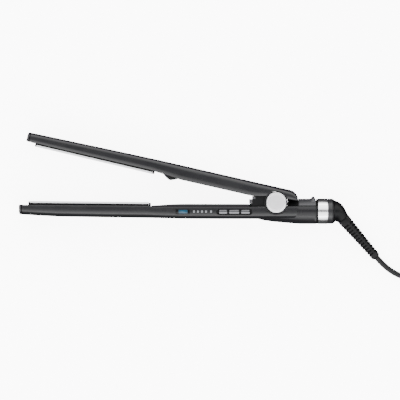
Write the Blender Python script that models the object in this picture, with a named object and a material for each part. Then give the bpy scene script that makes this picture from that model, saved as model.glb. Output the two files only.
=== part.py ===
"""Hair straightener: two arms on a rear pivot, each with a long floating plate.

It lies open on its side on the plane z = 0. X runs along the lower arm towards the cord, Y across
the arms and Z along the pivot. The origin is on the pivot axis, at the resting face of its rear cap.
All constants and function arguments are millimetres and degrees; meshes are made in metres.
The arms are drawn closed, and the upper arm's parts hang on an empty that opens them.
"""

import math

import bpy
from mathutils import Matrix, Vector

MM = 0.001
GAP = 0.35            # clearance between pieces that touch

# Overall layout
MID_Z = 15.0          # mid-plane of the arms and the barrel
OPEN_ANGLE = 12.6     # arms apart at rest
TIP_X = -254.0        # seam between the cases and their tip caps
TAIL_X = 20.6         # rear end of the upper case
EAR_X = 21.0          # rear end of the lower case
ARM_HALF = 14.7       # half width of the arms
WALL = 1.4
PLATE_X = (-245.5, -127.5)
PLATE_HALF = 12.4
PLATE_THICK = 2.9
PLATE_HOLD = 0.45     # the upper plate stands back from the contact line, so that closed arms don't touch
HANDLE_X = -124.5     # the inner covers run from here to the hinge

# Pivot
CAP_R = 10.25
CAP_THICK = 1.9
EAR_R = 11.8
CORE_R = 9.6
PIN_R = 2.4

# Rear barrel and cord outlet
AXIS_Y = -8.75        # axis of the barrel and of the cord swivel
BARREL_R = 12.75
BARREL_X = (-18.0, 40.1)
SPLIT_Y = -3.8        # the barrel's lower half ends here
SWIVEL_LEAN = 12.7    # the outlet is turned about the barrel axis until it meets the table
RELIEF_ANGLE = -49.5
RELIEF_START = (67.1, -16.0)
RELIEF_LENGTH = 53.0
RELIEF_TEETH = 11
RELIEF_PITCH = 3.5
RELIEF_FIRST = 9.2    # from the relief's start to the middle of its first tooth

# Controls, all on the side of the lower arm that faces up
FACE_Z = 29.45
BUTTON_Y = (-11.2, -7.5)
LENS_X = (-100.3, -86.3)
MARKS_X = (-82.0, -78.0, -74.0, -70.0, -65.0)
BUTTONS = {"button_power": (-57.0, -49.0), "button_up": (-47.0, -37.0), "button_down": (-35.0, -26.5)}
RECESS_X = (-59.5, -24.0)
RECESS_Y = (-12.3, -6.4)

# Cord
CORD_R = 2.75
COIL_CENTRE = (182.0, -50.0)
COIL_RADII = (22.0, 44.0)
COIL_Z = (1.2, 17.7)

# Each station: x, inner edge, outer edge, roundness of the section
LOWER_CASE = [
    (TIP_X, -2.0, -12.0, 2.2), (-236, -2.2, -13.2, 2.25), (-216, -2.4, -14.2, 2.3),
    (-171, -2.9, -14.9, 2.5), (-127, -3.3, -15.5, 2.8), (-125, -4.3, -15.55, 2.8), (-110, -4.3, -15.9, 3.0),
    (-94, -4.3, -16.3, 3.2), (-60, -4.3, -16.5, 3.2), (-25, -4.3, -16.5, 3.2), (EAR_X, -4.3, -16.5, 3.2),
]
UPPER_CASE = [
    (TIP_X, 5.3, 14.8, 2.2), (-236, 5.1, 15.0, 2.25), (-216, 4.9, 15.2, 2.3), (-171, 4.5, 15.7, 2.5),
    (-127, 4.1, 16.0, 2.8), (-125, 4.9, 16.0, 2.8), (-94, 4.9, 15.9, 3.2), (-60, 4.9, 15.7, 3.2),
    (-25, 4.9, 15.5, 3.2), (0, 5.3, 15.4, 3.0), (10, 6.0, 15.3, 3.0), (14, 6.1, 14.7, 3.0),
    (17.5, 6.1, 12.8, 3.0), (19.6, 6.1, 10.2, 3.0), (TAIL_X, 6.2, 8.4, 3.0),
]
LOWER_COVER_EDGE = [(HANDLE_X, -3.0), (-116, -2.5), (-107, -1.8), (-94, -1.35), (-60, -1.45), (-28.5, -1.5)]
UPPER_COVER_EDGE = [(HANDLE_X, 3.9), (-118, 3.9), (-98, 1.95), (-60, 1.5), (-28.5, 1.2)]


def contact(x):
    """Height of the line on which the closed plates meet."""
    return -0.86 - 0.01 * x


# ---------------------------------------------------------------- materials and mesh helpers

def material(name, colour, roughness, metallic=0.0):
    mat = bpy.data.materials.new(name)
    mat.use_nodes = True
    shader = mat.node_tree.nodes["Principled BSDF"]
    shader.inputs["Base Color"].default_value = (*colour, 1.0)
    shader.inputs["Roughness"].default_value = roughness
    shader.inputs["Metallic"].default_value = metallic
    return mat


def make(name, verts, faces, mat, parent=None):
    """A named mesh object from millimetre points, with outward normals and smooth round faces."""
    mesh = bpy.data.meshes.new(name)
    mesh.from_pydata([Vector(v) * MM for v in verts], [], faces)
    obj = bpy.data.objects.new(name, mesh)
    bpy.context.scene.collection.objects.link(obj)
    face_out(mesh)
    mesh.shade_smooth()
    mesh.set_sharp_from_angle(angle=math.radians(35))
    if mat:
        mesh.materials.append(mat)
    if parent:
        obj.parent = parent
    return obj


def face_out(mesh):
    """Flips the mesh if its signed volume is negative."""
    volume = 0.0
    for poly in mesh.polygons:
        first = mesh.vertices[poly.vertices[0]].co
        for a, b in zip(poly.vertices[1:], poly.vertices[2:]):
            volume += first.dot(mesh.vertices[a].co.cross(mesh.vertices[b].co))
    if volume < 0:
        mesh.flip_normals()


def loft(name, rings, mat, parent=None):
    """Joins rings of equal length into a closed body with flat ends."""
    size = len(rings[0])
    verts = [p for ring in rings for p in ring]
    faces = []
    for i in range(len(rings) - 1):
        for j in range(size):
            k = (j + 1) % size
            faces.append((i * size + j, i * size + k, (i + 1) * size + k, (i + 1) * size + j))
    last = (len(rings) - 1) * size
    faces.append(tuple(range(size - 1, -1, -1)))
    faces.append(tuple(range(last, last + size)))
    return make(name, verts, faces, mat, parent)


def prism(name, outline, z0, z1, mat=None, parent=None):
    """A flat outline in XY, extruded from z0 to z1."""
    rings = [[(x, y, z) for x, y in outline] for z in (z0, z1)]
    return loft(name, rings, mat, parent)


def box(name, low, high, mat=None, parent=None):
    outline = [(low[0], low[1]), (high[0], low[1]), (high[0], high[1]), (low[0], high[1])]
    return prism(name, outline, low[2], high[2], mat, parent)


def arc(centre, radius, start, end, steps):
    """Points on a circle, both ends included."""
    points = []
    for i in range(steps + 1):
        a = math.radians(start + (end - start) * i / steps)
        points.append((centre[0] + radius * math.cos(a), centre[1] + radius * math.sin(a)))
    return points


def circle(centre, radius, sides):
    """Evenly spaced points on a whole circle, as pairs."""
    return arc(centre, radius, 0, 360 * (sides - 1) / sides, sides - 1)


def disc_z(name, centre, radius, z0, z1, mat=None, parent=None, sides=32, edge=0.0):
    """A round piece along Z, with both rims bevelled by edge."""
    levels = [(z0, radius), (z1, radius)]
    if edge:
        levels = [(z0, radius - edge), (z0 + edge, radius), (z1 - edge, radius), (z1, radius - edge)]
    rings = [[(x, y, z) for x, y in circle(centre, r, sides)] for z, r in levels]
    return loft(name, rings, mat, parent)


def disc_y(name, x, z, radius, y0, y1, mat=None, parent=None, sides=12):
    """A round piece along Y."""
    rings = [[(p, y, q) for p, q in circle((x, z), radius, sides)] for y in (y0, y1)]
    return loft(name, rings, mat, parent)


def turned_x(name, profile, mat=None, parent=None, sides=32, hollow=False):
    """Revolves (x, radius) points about the barrel axis. A hollow piece closes its profile as a loop."""
    rings = []
    for x, r in profile:
        rings.append([(x, y, z) for y, z in circle((AXIS_Y, MID_Z), r, sides)])
    if not hollow:
        return loft(name, rings, mat, parent)
    verts = [p for ring in rings for p in ring]
    faces = []
    for i in range(len(rings)):
        n = (i + 1) % len(rings)
        for j in range(sides):
            k = (j + 1) % sides
            faces.append((i * sides + j, i * sides + k, n * sides + k, n * sides + j))
    return make(name, verts, faces, mat, parent)


def tube(name, points, radius, mat, parent=None, resolution=2):
    """A round wire through the given points, as a curve with filled caps."""
    curve = bpy.data.curves.new(name, "CURVE")
    curve.dimensions = "3D"
    curve.bevel_depth = radius * MM
    curve.bevel_resolution = resolution
    curve.use_fill_caps = True
    curve.twist_mode = "MINIMUM"
    spline = curve.splines.new("POLY")
    spline.points.add(len(points) - 1)
    for point, place in zip(spline.points, points):
        point.co = (*(Vector(place) * MM), 1.0)
    obj = bpy.data.objects.new(name, curve)
    bpy.context.scene.collection.objects.link(obj)
    obj.data.materials.append(mat)
    if parent:
        obj.parent = parent
    return obj


def smooth_route(points, spacing):
    """Evenly spaced points on a Catmull-Rom curve through the route's own points."""
    route = [Vector(p) for p in points]
    route = [2 * route[0] - route[1]] + route + [2 * route[-1] - route[-2]]
    fine = []
    for i in range(1, len(route) - 2):
        a, b, c, d = route[i - 1:i + 3]
        for s in range(20):
            t = s / 20
            fine.append(0.5 * (2 * b + (c - a) * t + (2 * a - 5 * b + 4 * c - d) * t * t
                               + (3 * b - a - 3 * c + d) * t ** 3))
    fine.append(route[-2])
    length = sum((q - p).length for p, q in zip(fine, fine[1:]))
    step = length / max(2, round(length / spacing))
    even = [fine[0]]
    travelled = 0.0
    for p, q in zip(fine, fine[1:]):
        travelled += (q - p).length
        if travelled >= step * len(even) - 1e-6:
            even.append(q)
    even[-1] = fine[-1]
    return even


def tool(obj):
    """Marks a cutter or a guide, which isn't part of the model."""
    obj.hide_render = True
    obj.display_type = "WIRE"
    return obj


def combine(obj, other, operation):
    """Adds a Boolean of obj with another shape, which becomes a tool."""
    tool(other)
    modifier = obj.modifiers.new(operation.title(), "BOOLEAN")
    modifier.operation = operation
    modifier.solver = "EXACT"
    modifier.object = other
    return obj


def cut(obj, other):
    return combine(obj, other, "DIFFERENCE")


def add(obj, other):
    return combine(obj, other, "UNION")


# ---------------------------------------------------------------- sections and cases

def section(inner, outer, half, power, steps=12):
    """Half-round section of an arm, from the inner edge over the outside and back, as (y, z)."""
    straight = 0.2 * (outer - inner)
    points = [(inner, MID_Z + half)]
    for i in range(steps + 1):
        a = math.pi * i / steps
        across = math.copysign(abs(math.cos(a)) ** (2 / power), math.cos(a))
        out = math.sin(a) ** (2 / power) if 0 < i < steps else 0.0
        points.append((inner + straight + (outer - inner - straight) * out, MID_Z + half * across))
    points.append((inner, MID_Z - half))
    return points


def channel_ring(x, inner, outer, power):
    """The U-shaped ring of a case wall at one station."""
    side = math.copysign(1.0, outer)
    shell = section(inner, outer, ARM_HALF, power)
    hollow = section(inner, outer - side * WALL, ARM_HALF - WALL, power)
    return [(x, y, z) for y, z in shell + hollow[::-1]]


def case(name, stations, mat, parent):
    return loft(name, [channel_ring(*station) for station in stations], mat, parent)


def screw_boss(shell, x, wall_y, top_y, parent):
    """Adds a pillar for a cover screw to a case and drills it."""
    add(shell, disc_y(f"tool_boss_{shell.name}_{x}", x, MID_Z, 2.7, wall_y, top_y, None, parent))
    drill_depth = wall_y + 0.35 * (top_y - wall_y)
    end = top_y + math.copysign(1.0, top_y - wall_y)
    cut(shell, disc_y(f"tool_drill_{shell.name}_{x}", x, MID_Z, 1.4, drill_depth, end, None, parent))


def rounded_box_outline(x0, x1, y0, y1, radius, steps=4):
    """Rectangle with round corners, anticlockwise."""
    outline = arc((x1 - radius, y1 - radius), radius, 0, 90, steps)
    outline += arc((x0 + radius, y1 - radius), radius, 90, 180, steps)
    outline += arc((x0 + radius, y0 + radius), radius, 180, 270, steps)
    outline += arc((x1 - radius, y0 + radius), radius, 270, 360, steps)
    return outline


def trough(x, grow=0.0):
    """Half width and depth of the barrel's lower half at x: its nose rises into the lower case."""
    rise = [(-18.0, 7.75), (-12.0, 9.2), (-1.0, 10.7), (14.0, 12.0), (24.0, BARREL_R), (50.0, BARREL_R)]
    depth = rise[-1][1]
    for (x0, d0), (x1, d1) in zip(rise, rise[1:]):
        if x <= x1:
            depth = d0 + (d1 - d0) * max(0.0, x - x0) / (x1 - x0)
            break
    return BARREL_R + grow, depth + grow


def oval_point(x, angle, half, depth):
    """Point of the barrel's section: its upper half is round, its lower half has its own depth."""
    t = math.radians(angle)
    height = depth if t < 0 else half
    return x, AXIS_Y + height * math.sin(t), MID_Z + half * math.cos(t)


def lower_case(mat):
    shell = case("lower_case", LOWER_CASE, mat, None)
    rounded_end = [(-300, 5), (-300, -30), (12, -30)] + arc((13, -9.2), 8.0, -90, 0, 6) + [(EAR_X, 5)]
    combine(shell, prism("tool_ear_outline", rounded_end, -5, 35), "INTERSECT")
    rings = []
    for x in (-18.35, -12, -1, 14, 24, 45):
        half, depth = trough(x, GAP)
        rings.append([oval_point(x, a, half, depth) for a in range(-180, 180, 15)])
    cut(shell, loft("tool_barrel_room", rings, None))
    cut(shell, disc_z("tool_knuckle_room", (0, 0), EAR_R + 0.4, -5, 35, sides=40))
    cut(shell, box("tool_lens_hole", (LENS_X[0], -11.6, 26), (LENS_X[1], -6.6, 33)))
    for x in MARKS_X:
        cut(shell, box(f"tool_mark_hole_{x}", (x - 1.3, -10.6, 26), (x + 1.3, -7.6, 33)))
    stadium = rounded_box_outline(*RECESS_X, *RECESS_Y, 2.5)
    cut(shell, prism("tool_recess", stadium, 26, 33))
    screw_boss(shell, -119.0, -14.7, -6.4, None)
    screw_boss(shell, -106.0, -15.0, -6.4, None)
    return shell


def upper_case(mat, parent):
    shell = case("upper_case", UPPER_CASE, mat, parent)
    for low, high, side in ((MID_Z + ARM_HALF - WALL - 0.1, MID_Z + ARM_HALF + 0.08, "front"),
                            (MID_Z - ARM_HALF - 0.08, MID_Z - ARM_HALF + WALL + 0.1, "rear")):
        add(shell, disc_z(f"tool_ear_{side}", (0, 0), EAR_R, low, high, None, parent, 40))
    cut(shell, disc_z("tool_cap_seat", (0, 0), CAP_R + 0.4, -5, 35, None, parent, 40))
    cut(shell, box("tool_tail_mouth", (15.5, -8, MID_Z - 12.4), (30, 4.8, MID_Z + 12.4)))
    screw_boss(shell, -90.0, 14.6, 6.9, parent)
    screw_boss(shell, -36.0, 14.2, 6.7, parent)
    return shell


def tip_cap(name, inner, outer, mat, parent):
    """Domed end of an arm, standing off the case by a fine seam."""
    rings = []
    middle = (inner + outer) / 2
    for x, scale in ((TIP_X - GAP, 1.0), (TIP_X - 1.2, 0.97), (TIP_X - 2.0, 0.88), (TIP_X - 2.6, 0.70)):
        points = section(inner, outer, ARM_HALF, 2.2)
        rings.append([(x, middle + (y - middle) * scale, MID_Z + (z - MID_Z) * (0.5 + scale / 2))
                      for y, z in points])
    return loft(name, rings, mat, parent)


def inner_cover(name, edge, case_gap, screws, mat, parent):
    """Closes the handle part of a case: a rim level with its sides and a tongue inside them."""
    side = -math.copysign(1.0, case_gap)
    rings = []
    for x, inner in edge:
        rim = case_gap + side * GAP
        tongue = case_gap - side * 1.2
        wide = ARM_HALF - 0.3
        slim = ARM_HALF - WALL - 0.4
        chamfer = min(0.8, 0.5 * abs(rim - inner))
        half = [(inner, wide - chamfer), (inner - side * chamfer, wide), (rim, wide)]
        half += [(rim, slim), (tongue, slim)]
        ring = [(x, y, MID_Z + z) for y, z in half] + [(x, y, MID_Z - z) for y, z in reversed(half)]
        rings.append(ring)
    cover = loft(name, rings, mat, parent)
    for x, head_y in screws:
        top = head_y + side * 3
        cut(cover, disc_y(f"tool_head_{name}_{x}", x, MID_Z, 2.6, head_y - side * 1.5, top, None, parent))
        cut(cover, disc_y(f"tool_shank_{name}_{x}", x, MID_Z, 1.5, case_gap - side * 4, top, None, parent))
    return cover


def cover_screw(name, x, head_y, side, mat, parent):
    """Screw with a round head and a plain shank, pointing away from side."""
    screw = disc_y(name, x, MID_Z, 2.2, head_y - side * 1.15, head_y + side * 0.2, mat, parent)
    shank = disc_y(f"tool_{name}", x, MID_Z, 1.0, head_y - side * 7.0, head_y - side * 1.0, None, parent)
    return add(screw, shank)


# ---------------------------------------------------------------- plates

def plate_carrier(name, side, mat, parent):
    """Black frame under a plate, with a pocket for the heater and an upstand at each end."""
    rings = []
    for x in (TIP_X + 0.5, PLATE_X[1] + 2.2):
        inner = contact(x) + side * 4.05
        rings.append([(x, y, z) for y, z in section(inner, inner + side * 3.9, 12.6, 2.2)])
    frame = loft(name, rings, mat, parent)
    pocket = [PLATE_X[0] + 4.5, PLATE_X[1] - 3.5]
    low = [(x, contact(x) + side * 6.7) for x in pocket]
    high = [(x, contact(x) - side * 1.0) for x in reversed(pocket)]
    cut(frame, prism(f"tool_pocket_{name}", low + high, MID_Z - 9, MID_Z + 9, None, parent))
    for x0, x1, top in ((PLATE_X[0] - 1.6, PLATE_X[0] - 0.4, 0.5), (PLATE_X[1] + 0.5, PLATE_X[1] + 2.2, 0.7)):
        post = [(x0, contact(x0) + side * 4.6), (x1, contact(x1) + side * 4.6),
                (x1, contact(x1) + side * top), (x0, contact(x0) + side * top)]
        add(frame, prism(f"tool_post_{name}_{x0}", post, MID_Z - 12, MID_Z + 12, None, parent))
    return frame


def heating_plate(name, side, gap, mat, parent):
    """Flat plate with bevelled long edges; gap is its distance from the contact line when closed."""
    bevel = 0.6
    rings = []
    front, rear = PLATE_X
    for x, inset in ((front, bevel), (front + bevel, 0), (rear - bevel, 0), (rear, bevel)):
        face = contact(x) + side * gap
        back = contact(x) + side * (gap + PLATE_THICK)
        wide = PLATE_HALF
        half = [(back, wide), (face + side * (bevel + inset), wide), (face + side * inset, wide - bevel)]
        ring = [(x, y, MID_Z + z) for y, z in half] + [(x, y, MID_Z - z) for y, z in reversed(half)]
        rings.append(ring)
    return loft(name, rings, mat, parent)


def heater(name, side, mat, parent):
    """Flat ceramic element on the back of a plate."""
    near, far = 3.75, 5.0
    ends = (PLATE_X[0] + 9, PLATE_X[1] - 8)
    outline = [(x, contact(x) + side * near) for x in ends]
    outline += [(x, contact(x) + side * far) for x in ends[::-1]]
    return prism(name, outline, MID_Z - 8, MID_Z + 8, mat, parent)


def leaf_spring(name, side, mat, parent):
    """Bowed strip between the floor of the carrier's pocket and the heater, drawn as pressed flat."""
    middle, half_length = -186.0, 40.0
    ends_depth, bow, thick = 6.25, 0.5, 0.3
    top = []
    for i in range(9):
        u = -1 + i / 4
        x = middle + half_length * u
        top.append((x, contact(x) + side * (ends_depth - bow * (1 - u * u))))
    bottom = [(x, y + side * thick) for x, y in reversed(top)]
    return prism(name, top + bottom, MID_Z - 4, MID_Z + 4, mat, parent)


def arm_heating(prefix, side, mats, parent):
    """Everything in the plate half of one arm."""
    gap = 0.0 if side < 0 else PLATE_HOLD
    plate_carrier(f"{prefix}_plate_carrier", side, mats["heat_plastic"], parent)
    heating_plate(f"{prefix}_plate", side, gap, mats["plate"], parent)
    heater(f"{prefix}_heater", side, mats["ceramic"], parent)
    leaf_spring(f"{prefix}_leaf_spring", side, mats["spring"], parent)
    y = contact(-190) + side * 9.9
    rings = [[(x, y + p, MID_Z + q) for p, q in arc((0, 0), 1.1, 0, 315, 7)] for x in (-196, -184)]
    loft(f"{prefix}_thermal_fuse", rings, mats["steel"], parent)


# ---------------------------------------------------------------- hinge

def hinge_core(mat):
    """Block between the arms, with a round hub and a stepped nose."""
    hub = arc((0, 0), CORE_R, 95, -140, 20)
    outline = [(-4.5, 8.5), (-12, 6.6), (-23.6, 6.4), (-23.6, 3.4), (-26.6, 3.4), (-26.6, -0.6), (-24, -3.6),
               (-24, -9.0), (-12, -10.0)]
    core = prism("hinge_core", hub + outline[::-1], 2.8, 27.2, mat)
    cut(core, disc_z("tool_pin_bore", (0, 0), PIN_R + GAP, -1, 31, sides=24))
    cut(core, disc_z("tool_spring_room", (0, 0), 7.4, 8.5, 21.5, sides=28))
    cut(core, box("tool_spring_window", (-2.2, 0, 8.5), (2.2, 12, 21.5)))
    cut(core, box("tool_core_side_front", (-18.9, -14, MID_Z + 9.6), (12, -3.4, 31)))
    cut(core, box("tool_core_side_rear", (-18.9, -14, -1), (12, -3.4, MID_Z - 9.6)))
    return core


def torsion_spring(mat):
    """Opening spring around the pin, with one leg reaching into the window."""
    turns = 5
    per_turn = 14
    points = []
    for i in range(turns * per_turn + 1):
        a = math.radians(90 + 360 * i / per_turn)
        points.append((5.0 * math.cos(a), 5.0 * math.sin(a), 10.0 + 10.0 * i / (turns * per_turn)))
    points = [(-1.4, 8.0, 9.6)] + points
    return tube("torsion_spring", points, 0.6, mat, resolution=1)


def pivot(mats):
    hinge_core(mats["core"])
    top = 2 * MID_Z
    disc_z("hinge_pin", (0, 0), PIN_R, CAP_THICK + GAP, top - CAP_THICK - GAP, mats["steel"], sides=20)
    torsion_spring(mats["spring"])
    disc_z("pivot_cap_rear", (0, 0), CAP_R, 0, CAP_THICK, mats["cap"], sides=40, edge=0.5)
    disc_z("pivot_cap_front", (0, 0), CAP_R, top - CAP_THICK, top, mats["cap"], sides=40, edge=0.5)


# ---------------------------------------------------------------- barrel and lock

def barrel(mat):
    """Lower half of the rear barrel, an open trough."""
    rings = []
    for x in (BARREL_X[0], -12, -1, 14, 24, BARREL_X[1]):
        ring = []
        for wall, order in ((0.0, 1), (1.6, -1)):
            half, depth = trough(x, -wall)
            top = math.degrees(math.asin((SPLIT_Y - AXIS_Y) / half))
            side_steps = [top * (1 - i / 3) for i in range(3)]
            angles = side_steps + [-180 * i / 12 for i in range(13)] + [-180 - a for a in side_steps[::-1]]
            ring += [oval_point(x, a, half, depth) for a in angles[::order]]
        rings.append(ring)
    return loft("barrel", rings, mat)


def segment(radius, floor_y, steps=10):
    """Part of the barrel's circle above floor_y, as (y, z) from +z to -z."""
    low = math.degrees(math.asin((floor_y - AXIS_Y) / radius))
    points = []
    for i in range(steps + 1):
        a = math.radians(low + (180 - 2 * low) * i / steps)
        points.append((AXIS_Y + radius * math.sin(a), MID_Z + radius * math.cos(a)))
    return points


def lock_track(mat):
    rings = [[(x, y, z) for y, z in segment(10.9, SPLIT_Y + 0.75)] for x in (12.4, BARREL_X[1])]
    return loft("lock_track", rings, mat)


def lock_slider(mat):
    """Curved shoe that wraps the track, with a thumb ridge at its rear end."""
    rings = []
    for x, lift in ((22.4, 0.0), (34.6, 0.0), (36.4, 1.9), (37.6, 2.2), (38.6, 1.6), (39.5, 0.0)):
        outside = segment(BARREL_R, SPLIT_Y + 0.75)
        inside = segment(11.3, SPLIT_Y + 0.75)
        ring = []
        for i, (y, z) in enumerate(outside):
            share = max(0.0, 1 - abs(i - 5) / 3.5)
            ring.append((x, y + lift * share ** 0.5, z))
        rings.append(ring + [(x, y, z) for y, z in inside[::-1]])
    return loft("lock_slider", rings, mat)


def rear_rings(mats):
    turned_x("seam_ring", [(40.5, 12.4), (41.5, 12.4), (41.5, 11.0), (40.5, 11.0)], mats["dark"], hollow=True)
    silver = [(41.85, 12.5), (42.2, BARREL_R), (51.4, BARREL_R), (51.7, 12.5), (51.7, 11.3), (41.85, 11.3)]
    turned_x("polished_ring", silver, mats["chrome"], hollow=True, sides=40)
    collar = [(52.05, 12.6), (56.9, 12.6), (56.9, 11.3), (52.05, 11.3)]
    turned_x("rear_collar", collar, mats["case_rear"], hollow=True)
    bush = [(41.9, 10.9), (56.9, 10.9), (56.9, 5.2), (41.9, 5.2)]
    turned_x("swivel_bush", bush, mats["dark"], hollow=True, sides=24)


# ---------------------------------------------------------------- cord outlet

def bend_rings(stations, sides=20):
    """Circles across a bent centreline in the XY plane: x, y, radius, direction."""
    rings = []
    for x, y, radius, direction in stations:
        a = math.radians(direction)
        normal = Vector((-math.sin(a), math.cos(a), 0))
        ring = []
        for i in range(sides):
            t = 2 * math.pi * i / sides
            outward = math.cos(t) * normal + math.sin(t) * Vector((0, 0, 1))
            ring.append(Vector((x, y, MID_Z)) + radius * outward)
        rings.append(ring)
    return rings


def strain_relief(mat, parent):
    """Tapered square bar: a plain block, a row of teeth, an end block and a small tip."""
    a = math.radians(RELIEF_ANGLE)
    along = Vector((math.cos(a), math.sin(a), 0))
    across = Vector((-math.sin(a), math.cos(a), 0))
    start = Vector((*RELIEF_START, MID_Z))
    half_tooth, ramp, tooth_depth = 1.1, 0.05, 1.7
    steps = [(0.4, 6.1), (RELIEF_FIRST - RELIEF_PITCH + half_tooth, 6.1)]
    for i in range(RELIEF_TEETH):
        middle = RELIEF_FIRST + RELIEF_PITCH * i
        outer = 5.9 - 1.3 * i / (RELIEF_TEETH - 1)
        groove = outer - tooth_depth
        steps += [(middle - RELIEF_PITCH + half_tooth + ramp, groove), (middle - half_tooth - ramp, groove),
                  (middle - half_tooth, outer), (middle + half_tooth, outer)]
    last = RELIEF_FIRST + RELIEF_PITCH * RELIEF_TEETH
    steps += [(last - RELIEF_PITCH + half_tooth + ramp, 2.9), (last - half_tooth - ramp, 2.9),
              (last - half_tooth, 4.6), (RELIEF_LENGTH - 0.9, 4.1), (RELIEF_LENGTH - 0.8, 3.2),
              (RELIEF_LENGTH, 3.1)]
    rings = []
    for s, radius in steps:
        corner = 0.45 * radius
        square = [(radius, corner), (corner, radius), (-corner, radius), (-radius, corner),
                  (-radius, -corner), (-corner, -radius), (corner, -radius), (radius, -corner)]
        rings.append([start + along * s + across * u + Vector((0, 0, 0.92 * v)) for u, v in square])
    return loft("strain_relief", rings, mat, parent)


def cord_outlet(mats):
    """Elbow and strain relief on the swivel, leaned down to the table."""
    swivel = bpy.data.objects.new("swivel_axis", None)
    bpy.context.scene.collection.objects.link(swivel)
    lean = Matrix.Rotation(math.radians(SWIVEL_LEAN), 4, "X")
    centre = Vector((0, AXIS_Y, MID_Z)) * MM
    swivel.matrix_world = Matrix.Translation(centre) @ lean @ Matrix.Translation(-centre)
    stations = [(57.25, AXIS_Y, 12.5, 0), (59.0, AXIS_Y, 12.0, 0), (61.0, -9.3, 10.2, -10),
                (63.0, -11.0, 8.6, -24), (65.0, -13.3, 7.2, -38), (67.0, -15.9, 6.3, RELIEF_ANGLE)]
    loft("cord_elbow", bend_rings(stations), mats["outlet"], swivel)
    strain_relief(mats["relief"], swivel)
    spindle = [(27.0, 3.8), (56.9, 3.8)]
    turned_x("swivel_spindle", spindle, mats["dark"], swivel, sides=20)
    for place, x in (("front", 30.0), ("rear", 34.5)):
        ring = [(x, 5.2), (x + 1.8, 5.2), (x + 1.8, 4.15), (x, 4.15)]
        turned_x(f"slip_ring_{place}", ring, mats["brass"], swivel, sides=24, hollow=True)
    brushes = box("contact_brushes", (29.0, -18.9, 12), (37.5, -17.6, 18), mats["brass"])
    for x in (30.1, 34.6):
        add(brushes, box(f"tool_brush_{x}", (x, -18, 13.5), (x + 1.6, AXIS_Y - 5.6, 16.5)))


# ---------------------------------------------------------------- controls

def controls(mats):
    box("display_lens", (LENS_X[0] + GAP, -11.2, 28.1), (LENS_X[1] - GAP, -7.0, FACE_Z), mats["display"])
    box("display_module", (-101.5, -11.0, 25.2), (-86.5, -6.4, 26.9), mats["dark"])
    bar_low = (MARKS_X[0] - 2.5, -10.8, 26.2)
    light_bar = box("indicator_bar", bar_low, (MARKS_X[-1] + 2.5, -7.2, 27.3), mats["mark"])
    for x in MARKS_X:
        add(light_bar, box(f"tool_indicator_{x}", (x - 0.9, -10.2, 27), (x + 0.9, -8.0, FACE_Z)))
    frame_outline = rounded_box_outline(RECESS_X[0] + GAP, RECESS_X[1] - GAP,
                                        RECESS_Y[0] + GAP, RECESS_Y[1] - GAP, 2.2)
    frame = prism("button_frame", frame_outline, 27.9, 28.9, mats["dark"])
    for name, (x0, x1) in BUTTONS.items():
        hole_low = (x0 - GAP, BUTTON_Y[0] - GAP, 26)
        cut(frame, box(f"tool_{name}", hole_low, (x1 + GAP, BUTTON_Y[1] + GAP, 31)))
        button = prism(name, rounded_box_outline(x0, x1, *BUTTON_Y, 0.7, 3), 26.6, FACE_Z, mats["button"])
        button.modifiers.new("Bevel", "BEVEL").width = 0.25 * MM
    pad = box("switch_pad", (RECESS_X[0], -11.4, 24.95), (-31.0, -7.1, 25.3), mats["dark"])
    for name, (x0, x1) in BUTTONS.items():
        middle = max((x0 + x1) / 2, x0 + 2) - 1
        add(pad, box(f"tool_dome_{name}", (middle - 1.8, -10.8, 25.1), (middle + 1.8, -7.6, 25.8)))
    box("circuit_board", (-104, -13.2, 23.2), (-29.5, -6.6, 24.6), mats["board"])


def leads(mats, arm):
    """Wires: the mains pair to the board, and one to the heater of each arm."""
    for side, z in (("left", 11.5), ("right", 14.5)):
        route = [(26.0, -17.0, z), (10, -16.2, z), (-8, -13.6, z), (-26, -12.6, z), (-40, -12.4, z)]
        tube(f"mains_lead_{side}", smooth_route(route, 7), 0.8, mats["wire"], resolution=1)
    low = [(-124.0, -10.6, 20), (-114, -11.2, 20.5), (-104, -11.6, 20), (-80, -11.6, 19), (-52, -11.0, 19)]
    tube("lower_heater_lead", smooth_route(low, 9), 0.9, mats["wire"], resolution=1)
    high = [(-124.0, 10.4, 20), (-100, 11.4, 20.5), (-60, 11.2, 20), (-30, 10.6, 20), (-16, 11.2, 20)]
    tube("upper_heater_lead", smooth_route(high, 12), 0.9, mats["wire"], arm, resolution=1)


# ---------------------------------------------------------------- cord

def coil_point(angle, radius, z):
    a = math.radians(angle)
    return COIL_CENTRE[0] + radius * math.cos(a), COIL_CENTRE[1] + radius * math.sin(a), z


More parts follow.
